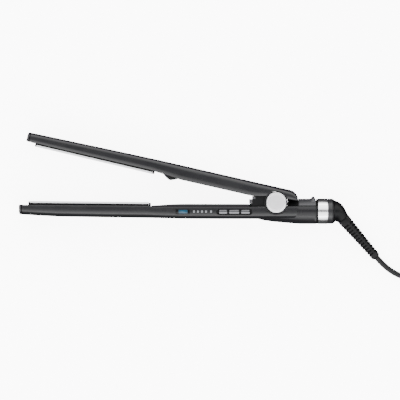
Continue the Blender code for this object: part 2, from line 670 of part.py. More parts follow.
def cord(mats):
    """Free end of the cord: out of the relief, into a neat coil, over it and out to the plug."""
    lead_out = [(101.75, -55.4, 4.5), (106.2, -60.2, 3.5), (112.5, -66.0, 2.9), (120.0, -71.0, 2.85),
                (129.0, -75.2, 2.95), (138.0, -78.6, 3.3), (145.6, -81.4, 3.7)]
    tube("cord_lead", smooth_route(lead_out, 6), CORD_R, mats["cord"])
    inner, outer = COIL_RADII
    z0, z1 = COIL_Z
    corner = 1.6
    profile = [(inner + corner, z0), (outer - corner, z0), (outer, z0 + corner), (outer, z1 - corner),
               (outer - corner, z1), (inner + corner, z1), (inner, z1 - corner), (inner, z0 + corner)]
    sides = 48
    verts = [coil_point(360 * j / sides, r, z) for j in range(sides) for r, z in profile]
    faces = []
    count = len(profile)
    for j in range(sides):
        k = (j + 1) % sides
        for i in range(count):
            n = (i + 1) % count
            faces.append((j * count + i, k * count + i, k * count + n, j * count + n))
    make("cord_coil", verts, faces, mats["cord"])
    tail = [coil_point(185, 30.0, 20.95), coil_point(218, 34.5, 20.95), coil_point(248, 40.5, 20.95),
            coil_point(273, 46.5, 20.6), coil_point(294, 52.0, 15.2), coil_point(312, 56.5, 7.6),
            coil_point(335, 61.5, 3.3), (243.4, -66.5, 4.6), (245.5, -56.8, 6.7), (246.0, -52.0, 7.0)]
    tube("cord_tail", smooth_route(tail, 6), CORD_R, mats["cord"])
    tie(mats)
    plug(mats)


def tie(mats):
    """Strap around the turns, across the coil's upper side."""
    x, y = COIL_CENTRE
    low, high = y + COIL_RADII[0], y + COIL_RADII[1]
    strap = box("cord_tie", (x - 5, low - 2.2, 0), (x + 5, high + 1.4, COIL_Z[1] + 1.3), mats["tie"])
    room_low = (x - 9, low - 1.1, COIL_Z[0] - GAP)
    cut(strap, box("tool_tie_room", room_low, (x + 9, high + GAP, COIL_Z[1] + GAP)))


def plug(mats):
    """Flat two-pin plug, lying on its wide side beside the coil."""
    x = 246.0
    rings = []
    for y, half, thick in ((-51.6, 3.4, 3.4), (-38.0, 4.6, 4.4), (-36.0, 7.5, 5.6), (-24.0, 13.5, 6.6),
                           (-12.0, 17.2, 6.9), (-2.0, 17.4, 6.9), (-0.6, 16.8, 6.3)):
        ring = []
        for i in range(20):
            a = 2 * math.pi * i / 20
            across = math.copysign(abs(math.cos(a)) ** 0.6, math.cos(a))
            up = math.copysign(abs(math.sin(a)) ** 0.6, math.sin(a))
            ring.append((x + half * across, y, 7.0 + thick * up))
        rings.append(ring)
    loft("plug_body", rings, mats["plug"])
    for side, shift in (("left", -9.3), ("right", 9.3)):
        pin = []
        for y, radius in ((-0.25, 2.0), (17.6, 2.0), (18.6, 1.3)):
            pin.append([(x + shift + p, y, 7.0 + q) for p, q in arc((0, 0), radius, 0, 330, 11)])
        loft(f"plug_pin_{side}", pin, mats["brass_pin"])


# ---------------------------------------------------------------- assembly

def make_materials():
    return {
        "case": material("case", (0.035, 0.035, 0.038), 0.38),
        "case_rear": material("case_rear", (0.05, 0.05, 0.053), 0.4),
        "cover": material("cover", (0.03, 0.03, 0.033), 0.45),
        "dark": material("dark_plastic", (0.01, 0.01, 0.011), 0.5),
        "core": material("hinge_plastic", (0.012, 0.012, 0.013), 0.5),
        "heat_plastic": material("heat_plastic", (0.008, 0.008, 0.008), 0.55),
        "plate": material("plate_coating", (0.72, 0.73, 0.76), 0.3, 0.6),
        "ceramic": material("heater_ceramic", (0.8, 0.78, 0.72), 0.6),
        "spring": material("spring_steel", (0.45, 0.45, 0.47), 0.3, 1.0),
        "steel": material("steel", (0.5, 0.5, 0.5), 0.35, 1.0),
        "cap": material("brushed_cap", (0.72, 0.71, 0.73), 0.35, 1.0),
        "chrome": material("polished_metal", (0.85, 0.85, 0.87), 0.1, 1.0),
        "brass": material("brass", (0.6, 0.45, 0.2), 0.35, 1.0),
        "brass_pin": material("nickel_pins", (0.6, 0.58, 0.54), 0.25, 1.0),
        "slider": material("slider", (0.075, 0.075, 0.08), 0.45),
        "bumper": material("bumper_rubber", (0.012, 0.012, 0.012), 0.7),
        "display": material("display_lens", (0.03, 0.2, 0.4), 0.1),
        "mark": material("indicator", (0.35, 0.37, 0.39), 0.3),
        "button": material("button", (0.42, 0.42, 0.45), 0.35),
        "board": material("circuit_board", (0.03, 0.16, 0.06), 0.5),
        "wire": material("wire", (0.5, 0.05, 0.04), 0.5),
        "outlet": material("outlet_rubber", (0.008, 0.008, 0.008), 0.5),
        "relief": material("relief_rubber", (0.012, 0.012, 0.012), 0.55),
        "cord": material("cord_jacket", (0.012, 0.012, 0.012), 0.5),
        "tie": material("tie_fabric", (0.015, 0.015, 0.016), 0.85),
        "plug": material("plug_body", (0.014, 0.014, 0.014), 0.45),
    }


def main():
    for obj in list(bpy.data.objects):
        bpy.data.objects.remove(obj, do_unlink=True)
    mats = make_materials()
    arm = bpy.data.objects.new("upper_arm_axis", None)
    bpy.context.scene.collection.objects.link(arm)
    arm.rotation_euler = (0, 0, -math.radians(OPEN_ANGLE))

    lower_case(mats["case"])
    tip_cap("lower_tip_cap", -2.0, -12.0, mats["case"], None)
    lower_screws = [(-119.0, -2.9), (-106.0, -2.1)]
    inner_cover("lower_inner_cover", LOWER_COVER_EDGE, -4.3, lower_screws, mats["cover"], None)
    cover_screw("lower_screw_front", -119.0, -3.1, 1, mats["steel"], None)
    cover_screw("lower_screw_rear", -106.0, -2.3, 1, mats["steel"], None)
    arm_heating("lower", -1, mats, None)

    upper_case(mats["case"], arm)
    tip_cap("upper_tip_cap", 5.3, 14.8, mats["case"], arm)
    upper_screws = [(-90.0, 2.5), (-36.0, 2.0)]
    inner_cover("upper_inner_cover", UPPER_COVER_EDGE, 4.9, upper_screws, mats["cover"], arm)
    cover_screw("upper_screw_front", -90.0, 2.7, -1, mats["steel"], arm)
    cover_screw("upper_screw_rear", -36.0, 2.2, -1, mats["steel"], arm)
    arm_heating("upper", 1, mats, arm)
    bump = [(-116.6, 3.4), (-112.5, 0.4), (-109.6, -1.2), (-107.4, -1.2), (-104.0, 0.2), (-100.6, 1.7)]
    prism("upper_bumper", bump, MID_Z - 6, MID_Z + 6, mats["bumper"], arm)

    pivot(mats)
    barrel(mats["case"])
    lock_track(mats["dark"])
    lock_slider(mats["slider"])
    rear_rings(mats)
    cord_outlet(mats)
    controls(mats)
    leads(mats, arm)
    cord(mats)


main()
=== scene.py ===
"""Looks of the hair straightener: fine shells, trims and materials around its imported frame.

It lies open on its side: X runs along the lower arm to the cord, Y across the arms, Z up. Shapes
are drawn in millimetres from the driving sizes below, as the CAD model is, and made in metres.
"""

import math

import bpy
import bmesh
from mathutils import Matrix, Vector

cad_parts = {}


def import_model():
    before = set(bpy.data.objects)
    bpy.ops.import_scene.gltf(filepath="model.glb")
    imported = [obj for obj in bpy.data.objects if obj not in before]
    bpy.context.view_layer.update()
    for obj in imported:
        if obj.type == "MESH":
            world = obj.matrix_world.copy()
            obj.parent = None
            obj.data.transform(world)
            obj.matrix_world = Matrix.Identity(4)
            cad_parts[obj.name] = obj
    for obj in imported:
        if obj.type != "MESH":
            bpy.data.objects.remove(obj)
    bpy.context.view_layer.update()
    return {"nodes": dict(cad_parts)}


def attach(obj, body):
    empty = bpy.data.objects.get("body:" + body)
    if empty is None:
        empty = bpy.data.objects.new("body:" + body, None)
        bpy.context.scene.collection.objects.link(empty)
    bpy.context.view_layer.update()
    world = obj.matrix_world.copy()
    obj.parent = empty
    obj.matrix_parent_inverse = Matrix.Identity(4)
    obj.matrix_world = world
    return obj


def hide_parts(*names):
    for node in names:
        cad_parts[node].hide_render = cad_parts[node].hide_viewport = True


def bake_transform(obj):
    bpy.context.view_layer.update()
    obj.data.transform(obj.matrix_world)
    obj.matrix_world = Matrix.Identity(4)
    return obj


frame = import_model()

# Driving sizes, in millimetres and degrees unless a line says otherwise.
MM = 0.001
MID_Z = 15.0
OPEN_ANGLE = 12.6
TIP_X = -254.0
TAIL_X = 20.6
EAR_X = 21.0
ARM_HALF = 14.7
WALL = 1.4
PLATE_X = (-245.5, -127.5)
PLATE_HALF = 12.4
PLATE_THICK = 2.9
PLATE_FACE = 1.9
HANDLE_X = -124.5
CAP_R = 10.05
EAR_R = 11.8
AXIS_Y = -8.75
LOWER_GAP_Y = -4.3
UPPER_GAP_Y = 4.9
HANDLE = (LOWER_GAP_Y, -16.5, 3.2)
BARREL_R = 12.75
BARREL_X0 = -18.0
TRIM_BORE = 11.3
SPLIT_Y = -3.8
SWIVEL_LEAN = 12.7
RELIEF_ANGLE = -49.5
RELIEF_START = (67.1, -16.0)
RELIEF_LENGTH = 53.0
RELIEF_TEETH = 11
RELIEF_PITCH = 3.5
RELIEF_FIRST = 9.2
RIB_SHIFT = 1.6
LENS_X = (-100.3, -86.3)
LENS_Y = (-11.6, -6.6)
GLOW_X = (-97.4, -88.4)
GLOW_Y = (-10.9, -7.3)
GLOW_CENTRE = (-92.5, -9.1)
MARKS_X = (-82.0, -78.0, -74.0, -70.0, -65.0)
MARK_HALF = 1.15
MARK_Y = (-10.5, -7.7)
FACE_Z = 29.45
BUTTONS = {"button_power": (-57.0, -49.0), "button_up": (-47.0, -37.0), "button_down": (-35.0, -26.5)}
RECESS_X = (-59.5, -24.0)
RECESS_Y = (-12.3, -6.4)
BUTTON_Y = (-11.2, -7.5)
KEY_FOOT_Z = 26.6
CUT_THROUGH_Z = (-5, 35)
POCKET_Z = (26, 33)
CORD_R = 2.75
COIL_CENTRE = (182.0, -50.0)
COIL_RADII = [41.25, 35.75, 30.25, 24.75]
COIL_HEIGHTS = [3.95, 9.45, 14.95]
PLUG_X = 246.0
PLUG_Z = 7.0
PIN_SLEEVE_END = 9.7
LOWER_CROWN = 0.3
UPPER_CROWN = 1.1
TIP_GROOVE = 0.6

# Stations of each arm: x, its inner y, its outer y and the squareness of its section.
LOWER_CASE = [
    (TIP_X, -2.3, -12.0, 2.9), (-236, -2.4, -13.2, 2.9), (-216, -2.6, -14.2, 2.9), (-171, -3.0, -14.9, 3.0),
    (-126, -3.3, -15.5, 3.0), (-123.5, LOWER_GAP_Y, -15.55, 3.0), (-110, LOWER_GAP_Y, -15.9, 3.1),
    (-94, LOWER_GAP_Y, -16.3, 3.2), (-60, *HANDLE), (-25, *HANDLE), (EAR_X, *HANDLE),
]
UPPER_CASE = [
    (TIP_X, 5.3, 14.8, 4.2), (-236, 5.1, 15.0, 4.4), (-216, 4.9, 15.2, 4.6), (-171, 4.6, 15.7, 4.8),
    (-127, 4.3, 16.0, 4.8), (-125, 3.8, 16.0, 4.8), (-118, 3.4, 16.0, 4.8), (-98, 1.4, 15.9, 4.8),
    (-60, 1.3, 15.7, 4.8), (-24.5, 1.2, 15.5, 4.4), (-20.0, 2.0, 15.5, 4.2), (-12.0, 3.9, 15.5, 4.0),
    (0, 5.0, 15.45, 3.6), (12.5, 6.0, 15.45, 3.2), (16.0, 6.1, 14.7, 3.0), (18.2, 6.1, 12.8, 3.0),
    (19.8, 6.1, 10.4, 3.0), (TAIL_X, 6.2, 8.4, 3.0),
]
# Inner edge of each arm's cover: x, y.
LOWER_COVER_EDGE = [(HANDLE_X, -3.0), (-116, -2.5), (-107, -1.8), (-94, -1.35), (-60, -1.45),
                    (-27.0, -1.5)]
UPPER_COVER_EDGE = [(HANDLE_X, 3.9), (-118, 3.9), (-98, 1.95), (-60, 1.5), (-28.5, 1.2)]

OPEN = Matrix.Rotation(-math.radians(OPEN_ANGLE), 4, "Z")
CENTRE = Vector((0, AXIS_Y, MID_Z)) * MM
LEAN = (Matrix.Translation(CENTRE) @ Matrix.Rotation(math.radians(SWIVEL_LEAN), 4, "X")
        @ Matrix.Translation(-CENTRE))
STAY = Matrix.Identity(4)


def contact(x):
    """Height of the line on which the closed plates meet."""
    return -0.86 - 0.01 * x


# ---- materials

def new_material(name, colour, roughness, metallic=0.0, specular=0.5):
    mat = bpy.data.materials.new(name)
    mat.use_nodes = True
    shader = mat.node_tree.nodes["Principled BSDF"]
    shader.inputs["Base Color"].default_value = (*colour, 1.0)
    shader.inputs["Roughness"].default_value = roughness
    shader.inputs["Metallic"].default_value = metallic
    shader.inputs["Specular IOR Level"].default_value = specular
    return mat, shader


def object_coords(mat, scale=(1, 1, 1), shift=(0, 0, 0)):
    nodes, links = mat.node_tree.nodes, mat.node_tree.links
    coords = nodes.new("ShaderNodeTexCoord")
    mapping = nodes.new("ShaderNodeMapping")
    mapping.inputs["Location"].default_value = shift
    mapping.inputs["Scale"].default_value = scale
    links.new(coords.outputs["Object"], mapping.inputs["Vector"])
    return mapping.outputs["Vector"]


def noise(mat, vector, scale, detail=3.0):
    node = mat.node_tree.nodes.new("ShaderNodeTexNoise")
    node.inputs["Scale"].default_value = scale
    node.inputs["Detail"].default_value = detail
    node.inputs["Roughness"].default_value = 0.55
    mat.node_tree.links.new(vector, node.inputs["Vector"])
    return node.outputs["Fac"]


def remap(mat, value, low, high, out_low, out_high):
    node = mat.node_tree.nodes.new("ShaderNodeMapRange")
    node.inputs["From Min"].default_value = low
    node.inputs["From Max"].default_value = high
    node.inputs["To Min"].default_value = out_low
    node.inputs["To Max"].default_value = out_high
    mat.node_tree.links.new(value, node.inputs["Value"])
    return node.outputs["Result"]


def mix_colour(mat, factor, first, second):
    node = mat.node_tree.nodes.new("ShaderNodeMix")
    node.data_type = "RGBA"
    node.inputs[6].default_value = (*first, 1.0)
    node.inputs[7].default_value = (*second, 1.0)
    mat.node_tree.links.new(factor, node.inputs[0])
    return node.outputs[2]


def bump(mat, shader, height, strength, distance):
    node = mat.node_tree.nodes.new("ShaderNodeBump")
    node.inputs["Strength"].default_value = strength
    node.inputs["Distance"].default_value = distance
    mat.node_tree.links.new(height, node.inputs["Height"])
    mat.node_tree.links.new(node.outputs["Normal"], shader.inputs["Normal"])


def math_node(tree, operation, first, second=None):
    """Result of a math node on a link and, where it takes two values, a link or a number."""
    node = tree.nodes.new("ShaderNodeMath")
    node.operation = operation
    tree.links.new(first, node.inputs[0])
    if isinstance(second, float):
        node.inputs[1].default_value = second
    elif second is not None:
        tree.links.new(second, node.inputs[1])
    return node.outputs[0]


def axis_distance(mat, vector):
    """Distance of a point from the Z axis."""
    nodes, links = mat.node_tree.nodes, mat.node_tree.links
    flat, reach = nodes.new("ShaderNodeVectorMath"), nodes.new("ShaderNodeVectorMath")
    flat.operation, reach.operation = "MULTIPLY", "LENGTH"
    flat.inputs[1].default_value = (1, 1, 0)
    links.new(vector, flat.inputs[0])
    links.new(flat.outputs["Vector"], reach.inputs[0])
    return reach.outputs["Value"]


def moulded(name, colour, roughness, grain=2600.0, depth=0.00003, specular=0.5, tone=0.12):
    """Moulded plastic or rubber: spark-eroded grain, faint cloudiness, and handled patches."""
    mat, shader = new_material(name, colour, roughness, specular=specular)
    vector = object_coords(mat)
    cloud = noise(mat, vector, 45.0)
    light = tuple(min(1.0, c * (1 + tone)) for c in colour)
    dark = tuple(c * (1 - tone) for c in colour)
    links = mat.node_tree.links
    links.new(mix_colour(mat, cloud, dark, light), shader.inputs["Base Color"])
    handled = noise(mat, object_coords(mat, (0.5, 1, 1)), 90.0, 5.0)
    links.new(remap(mat, handled, 0.3, 0.7, roughness - 0.05, roughness + 0.06), shader.inputs["Roughness"])
    bump(mat, shader, noise(mat, vector, grain, 2.0), 0.35, depth)
    return mat


def metal(name, colour, roughness, streak=(1, 1, 1), scale=900.0, depth=0.000004):
    """Worked metal: fine lines along one direction, with uneven polish."""
    mat, shader = new_material(name, colour, roughness, metallic=1.0)
    lines = noise(mat, object_coords(mat, streak), scale, 4.0)
    links = mat.node_tree.links
    polish = remap(mat, lines, 0.3, 0.7, max(0.02, roughness - 0.06), roughness + 0.08)
    links.new(polish, shader.inputs["Roughness"])
    pale = tuple(min(1.0, c * 1.05) for c in colour)
    deep = tuple(c * 0.93 for c in colour)
    links.new(mix_colour(mat, lines, deep, pale), shader.inputs["Base Color"])
    bump(mat, shader, lines, 0.3, depth)
    return mat


def turned_cap_material():
    """Pivot cap: concentric turning lines about the pivot axis."""
    mat, shader = new_material("turned_cap", (0.74, 0.73, 0.75), 0.5, metallic=0.75)
    tree, line_density = mat.node_tree, 9000.0
    lines = math_node(tree, "MULTIPLY", axis_distance(mat, object_coords(mat)), line_density)
    blotch = noise(mat, object_coords(mat), 260.0, 4.0)
    tint = mix_colour(mat, blotch, (0.58, 0.57, 0.59), (0.72, 0.71, 0.73))
    tree.links.new(tint, shader.inputs["Base Color"])
    bump(mat, shader, math_node(tree, "SINE", lines), 0.12, 0.000006)
    return mat


def display_material():
    """Lit window: a soft blue glow that fades away from its centre, behind a gloss surface."""
    mat, shader = new_material("display_glow", (0.003, 0.012, 0.02), 0.12)
    spread = (150, 330)
    shift = [-at * MM * rate for at, rate in zip(GLOW_CENTRE, spread)]
    reach = axis_distance(mat, object_coords(mat, (*spread, 1), (*shift, 0)))
    glow = remap(mat, reach, 0.0, 1.1, 1.0, 0.0)
    tint = mix_colour(mat, glow, (0.003, 0.025, 0.06), (0.035, 0.24, 0.42))
    mat.node_tree.links.new(tint, shader.inputs["Emission Color"])
    shader.inputs["Emission Strength"].default_value = 0.55
    return mat


def materials():
    return {
        "case": moulded("case_plastic", (0.008, 0.008, 0.0092), 0.26, depth=0.000005, specular=0.32),
        "tip": moulded("tip_plastic", (0.018, 0.018, 0.020), 0.3, depth=0.000006, specular=0.35),
        "cover": moulded("cover_plastic", (0.006, 0.006, 0.007), 0.32, specular=0.2),
        "barrel": moulded("barrel_plastic", (0.0075, 0.0075, 0.0088), 0.28, depth=0.000005, specular=0.26),
        "black": moulded("black_plastic", (0.0025, 0.0025, 0.003), 0.5, specular=0.12),
        "heat": moulded("heat_plastic", (0.002, 0.002, 0.002), 0.55, specular=0.1),
        "plate": moulded("plate_coating", (0.72, 0.73, 0.75), 0.3, depth=0.000003, tone=0.04, specular=0.8),
        "cap": turned_cap_material(),
        "rim": metal("bright_rim", (0.92, 0.92, 0.93), 0.16),
        "ring": metal("polished_ring", (0.90, 0.90, 0.92), 0.14, (1, 6, 6), 500.0, 0.000002),
        "steel": metal("plain_steel", (0.52, 0.52, 0.53), 0.3),
        "slider": moulded("slider_plastic", (0.030, 0.030, 0.033), 0.42, 1800.0, specular=0.3),
        "tab": moulded("tab_plastic", (0.045, 0.045, 0.048), 0.4, 1800.0, 0.00002, 0.3),
        "collar": moulded("collar_plastic", (0.013, 0.013, 0.0145), 0.3, specular=0.3),
        "outlet": moulded("outlet_rubber", (0.002, 0.002, 0.0025), 0.36, specular=0.12),
        "relief": moulded("relief_rubber", (0.0025, 0.0025, 0.003), 0.4, specular=0.14),
        "bumper": moulded("bumper_rubber", (0.0025, 0.0025, 0.003), 0.45, specular=0.25),
        "display": display_material(),
        "window": moulded("window_black", (0.002, 0.002, 0.0025), 0.1, depth=0.000002, specular=0.3),
        "mark": moulded("mark_plastic", (0.14, 0.145, 0.155), 0.3),
        "button": moulded("button_plastic", (0.13, 0.13, 0.14), 0.24, depth=0.00001),
        "cord": moulded("cord_rubber", (0.0035, 0.0035, 0.004), 0.4, 1400.0, 0.00002, 0.2),
        "tie": moulded("tie_fabric", (0.012, 0.012, 0.013), 0.85, 3200.0, 0.00012),
        "plug": moulded("plug_plastic", (0.012, 0.012, 0.013), 0.4),
        "pin": metal("pin_nickel", (0.66, 0.64, 0.60), 0.2),
        "sleeve": moulded("sleeve_plastic", (0.012, 0.012, 0.012), 0.35),
        "brass": metal("contact_brass", (0.62, 0.46, 0.2), 0.3),
        "board": moulded("board_laminate", (0.02, 0.12, 0.05), 0.45),
        "wire": moulded("wire_jacket", (0.32, 0.03, 0.025), 0.45),
        "ceramic": moulded("heater_ceramic", (0.72, 0.70, 0.64), 0.6),
    }


MAT = materials()


# ---- mesh helpers

def make(name, verts, faces, look, place=STAY, sharp=32):
    """A mesh object from millimetre points, facing out, placed by a matrix that is then applied."""
    mesh = bpy.data.meshes.new(name)
    mesh.from_pydata([Vector(v) * MM for v in verts], [], faces)
    obj = bpy.data.objects.new(name, mesh)
    bpy.context.scene.collection.objects.link(obj)
    bm = bmesh.new()
    bm.from_mesh(mesh)
    bmesh.ops.recalc_face_normals(bm, faces=bm.faces)
    bm.to_mesh(mesh)
    bm.free()
    mesh.transform(place)
    mesh.shade_smooth()
    mesh.set_sharp_from_angle(angle=math.radians(sharp))
    mesh.materials.append(MAT[look])
    return obj


def quads(count, size, bands):
    """Faces of the bands between count rings of size points, the last ring followed by the first."""
    faces = []
    for i in range(bands):
        n = (i + 1) % count
        for j in range(size):
            k = (j + 1) % size
            faces.append((i * size + j, i * size + k, n * size + k, n * size + j))
    return faces


def loft(name, rings, look, place=STAY, sharp=32):
    """Joins rings of equal length into a closed body with flat ends."""
    size = len(rings[0])
    verts = [p for ring in rings for p in ring]
    faces = quads(len(rings), size, len(rings) - 1)
    last = (len(rings) - 1) * size
    faces.append(tuple(range(size - 1, -1, -1)))
    faces.append(tuple(range(last, last + size)))
    return make(name, verts, faces, look, place, sharp)


def prism(name, outline, z0, z1, look, place=STAY):
    return loft(name, [[(x, y, z) for x, y in outline] for z in (z0, z1)], look, place)


def box(name, low, high, look, place=STAY):
    outline = [(low[0], low[1]), (high[0], low[1]), (high[0], high[1]), (low[0], high[1])]
    return prism(name, outline, low[2], high[2], look, place)


def arc(centre, radius, start, end, steps):
    points = []
    for i in range(steps + 1):
        a = math.radians(start + (end - start) * i / steps)
        points.append((centre[0] + radius * math.cos(a), centre[1] + radius * math.sin(a)))
    return points


def circle(centre, radius, sides):
    return arc(centre, radius, 0, 360 * (sides - 1) / sides, sides - 1)


def rounded_outline(x0, x1, y0, y1, radius, steps=8):
    outline = arc((x1 - radius, y1 - radius), radius, 0, 90, steps)
    outline += arc((x0 + radius, y1 - radius), radius, 90, 180, steps)
    outline += arc((x0 + radius, y0 + radius), radius, 180, 270, steps)
    outline += arc((x1 - radius, y0 + radius), radius, 270, 360, steps)
    return outline


def inset_outline(span_x, span_y, gap, radius, steps=8):
    """Rounded rectangle gap inside two spans."""
    (x0, x1), (y0, y1) = span_x, span_y
    return rounded_outline(x0 + gap, x1 - gap, y0 + gap, y1 - gap, radius, steps)


def signed_power(value, power):
    """Squares a circle off when it is used on the sine and cosine with a power below 1."""
    return math.copysign(abs(value) ** power, value)


def turned(name, profile, look, axis="X", centre=(AXIS_Y, MID_Z), sides=96, sharp=32):
    """Revolves a closed loop of (distance along the axis, radius) points about an axis along X or Z."""
    verts = []
    for along, radius in profile:
        for i in range(sides):
            a = 2 * math.pi * i / sides
            u, v = centre[0] + radius * math.cos(a), centre[1] + radius * math.sin(a)
            verts.append((along, u, v) if axis == "X" else (u, v, along))
    return make(name, verts, quads(len(profile), sides, len(profile)), look, sharp=sharp)


def turned_disc(name, radius, z0, z1):
    """A solid disc on the pivot axis."""
    return prism(name, circle((0, 0), radius, 96), z0, z1, "case")


def apply_modifiers(obj):
    """Bakes the modifiers into the mesh."""
    graph = bpy.context.evaluated_depsgraph_get()
    mesh = bpy.data.meshes.new_from_object(obj.evaluated_get(graph))
    obj.modifiers.clear()
    obj.data = mesh


def boolean(obj, tools, operation="DIFFERENCE"):
    """Cuts or joins the tools and removes them."""
    for other in tools:
        modifier = obj.modifiers.new("Boolean", "BOOLEAN")
        modifier.operation = operation
        modifier.solver = "EXACT"
        modifier.object = other
    apply_modifiers(obj)
    for other in tools:
        bpy.data.objects.remove(other, do_unlink=True)


def soften(obj, width, segments=3, angle=40):
    """Rounds the edges that are sharper than angle."""
    modifier = obj.modifiers.new("Bevel", "BEVEL")
    modifier.width = width * MM
    modifier.segments = segments
    modifier.limit_method = "ANGLE"
    modifier.angle_limit = math.radians(angle)
    apply_modifiers(obj)
    obj.data.shade_smooth()
    obj.data.set_sharp_from_angle(angle=math.radians(angle))
    return obj


def mount(obj, body, slot, *nodes):
    """Gives a piece its body and hides the CAD nodes that it stands in for, if any; slot is not used."""
    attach(obj, body)
    if nodes:
        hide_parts(*nodes)


def smooth_rows(rows, step):
    """Evenly spaced stations about step apart between the given ones, with x first."""
    out = []
    for a, b in zip(rows, rows[1:]):
        count = max(1, round((b[0] - a[0]) / step))
        for i in range(count):
            t = i / count
            out.append(tuple(p + (q - p) * t for p, q in zip(a, b)))
    out.append(tuple(rows[-1]))
    return out


def eased_rows(rows, step, rounds=3):
    """Dense stations whose corners are rounded by averaging neighbours."""
    dense = [list(row) for row in smooth_rows(rows, step)]
    for _ in range(rounds):
        before = [row[:] for row in dense]
        for i in range(1, len(dense) - 1):
            for k in range(1, len(dense[i])):
                dense[i][k] = (before[i - 1][k] + 2 * before[i][k] + before[i + 1][k]) / 4
    return [tuple(row) for row in dense]


def curve_rows(rows, count):
    """Catmull-Rom through rows of numbers, count steps between each pair."""
    ends = [[2 * p - q for p, q in zip(rows[0], rows[1])]] + [list(r) for r in rows]
    ends.append([2 * p - q for p, q in zip(rows[-1], rows[-2])])
    out = []
    for i in range(1, len(ends) - 2):
        for s in range(count):
            t = s / count
            row = []
            for a, b, c, d in zip(ends[i - 1], ends[i], ends[i + 1], ends[i + 2]):
                row.append(0.5 * (2 * b + (c - a) * t + (2 * a - 5 * b + 4 * c - d) * t * t
                                  + (3 * b - a - 3 * c + d) * t ** 3))
            out.append(row)
    out.append(list(rows[-1]))
    return out


# ---- cases

def section(inner, outer, half, power, crown=0.0):
    """Half-round section of an arm, as (y, z) from +z to -z.

    Its sides fall by crown towards the inner edge.
    """
    side = math.copysign(1.0, outer - inner)
    straight = 0.32 * (outer - inner)
    edge = min(0.3, 0.5 * abs(straight))
    steps = 36
    top = [(inner, half - crown - edge), (inner + side * 0.3 * edge, half - crown - 0.3 * edge)]
    for i in range(8):
        t = max(edge / abs(straight), i / 8)
        top.append((inner + straight * t, half - crown * (1 - t) ** 2.2))
    points = [(y, MID_Z + z) for y, z in top]
    for i in range(steps + 1):
        a = math.pi * i / steps
        across = signed_power(math.cos(a), 2 / power)
        out = math.sin(a) ** (2 / power) if 0 < i < steps else 0.0
        points.append((inner + straight + (outer - inner - straight) * out, MID_Z + half * across))
    return points + [(y, MID_Z - z) for y, z in reversed(top)]


def case_body(name, stations, crown, place):
    """Shell of an arm, open along its inner side, in one loop of outer and inner skin."""
    rings = []
    for x, inner, outer, power in eased_rows(stations, 2.0, 2):
        side = math.copysign(1.0, outer)
        shell = section(inner, outer, ARM_HALF, power, crown)
        hollow = section(inner, outer - side * WALL, ARM_HALF - WALL, power)
        rings.append([(max(x, TIP_X + TIP_GROOVE), y, z) for y, z in shell + hollow[::-1]])
    return loft(name, rings, "case", place)


def barrel_depth(x):
    """Depth of the barrel's lower half at x: its nose rises into the lower case."""
    rise = [(BARREL_X0, 7.75), (-12.0, 9.2), (-1.0, 10.7), (14.0, 12.0), (24.0, BARREL_R)]
    for (x0, d0), (x1, d1) in zip(rise, rise[1:]):
        if x <= x1:
            return d0 + (d1 - d0) * max(0.0, x - x0) / (x1 - x0)
    return BARREL_R


def oval_point(x, angle, half, depth):
    """Point of the barrel's section, which is round above its axis and as deep as depth below it."""
    t = math.radians(angle)
    height = depth if t < 0 else half
    return x, AXIS_Y + height * math.sin(t), MID_Z + half * math.cos(t)


def lower_case():
    """Lower shell, cut to the ear's outline, with room for the barrel, knuckle and controls."""
    shell = case_body("lower_case_shell", LOWER_CASE, LOWER_CROWN, STAY)
    outline = [(-300, 5), (-300, -30), (12, -30)] + arc((13, -9.2), 8.0, -90, 0, 16) + [(EAR_X, 5)]
    boolean(shell, [prism("ear_outline", outline, *CUT_THROUGH_Z, "case")], "INTERSECT")
    rings = []
    for x in [-18.35] + list(range(-16, 46, 3)):
        half, depth = BARREL_R + 0.3, barrel_depth(x) + 0.3
        rings.append([oval_point(x, a, half, depth) for a in range(-180, 180, 5)])
    tools = [loft("barrel_room", rings, "case")]
    tools.append(turned_disc("knuckle_room", EAR_R + 0.4, *CUT_THROUGH_Z))
    holes = [("lens_hole", LENS_X, LENS_Y, 0.7)]
    holes += [(f"mark_hole_{x}", (x - MARK_HALF, x + MARK_HALF), MARK_Y, 0.4) for x in MARKS_X]
    holes.append(("recess", RECESS_X, RECESS_Y, 2.6))
    for name, span_x, span_y, radius in holes:
        tools.append(prism(name, inset_outline(span_x, span_y, 0, radius), *POCKET_Z, "case"))
    boolean(shell, tools)
    soften(shell, 0.22, 2, 50)
    mount(shell, "root", "case", "lower_case")


def upper_case():
    """Upper shell with its two ears about the pivot."""
    shell = case_body("upper_case_shell", UPPER_CASE, UPPER_CROWN, OPEN)
    high = MID_Z + ARM_HALF
    low = MID_Z - ARM_HALF
    ears = [turned_disc("ear_front", EAR_R, high - WALL - 0.1, high + 0.05),
            turned_disc("ear_rear", EAR_R, low - 0.05, low + WALL + 0.1)]
    mouth = box("tail_mouth", (15.5, -8, MID_Z - 12.4), (30, 4.8, MID_Z + 12.4), "case")
    boolean(shell, [mouth])
    boolean(shell, ears, "UNION")
    boolean(shell, [turned_disc("cap_seat", CAP_R + 1.1, *CUT_THROUGH_Z)])
    soften(shell, 0.22, 2, 50)
    mount(shell, "upper_arm", "case", "upper_case")


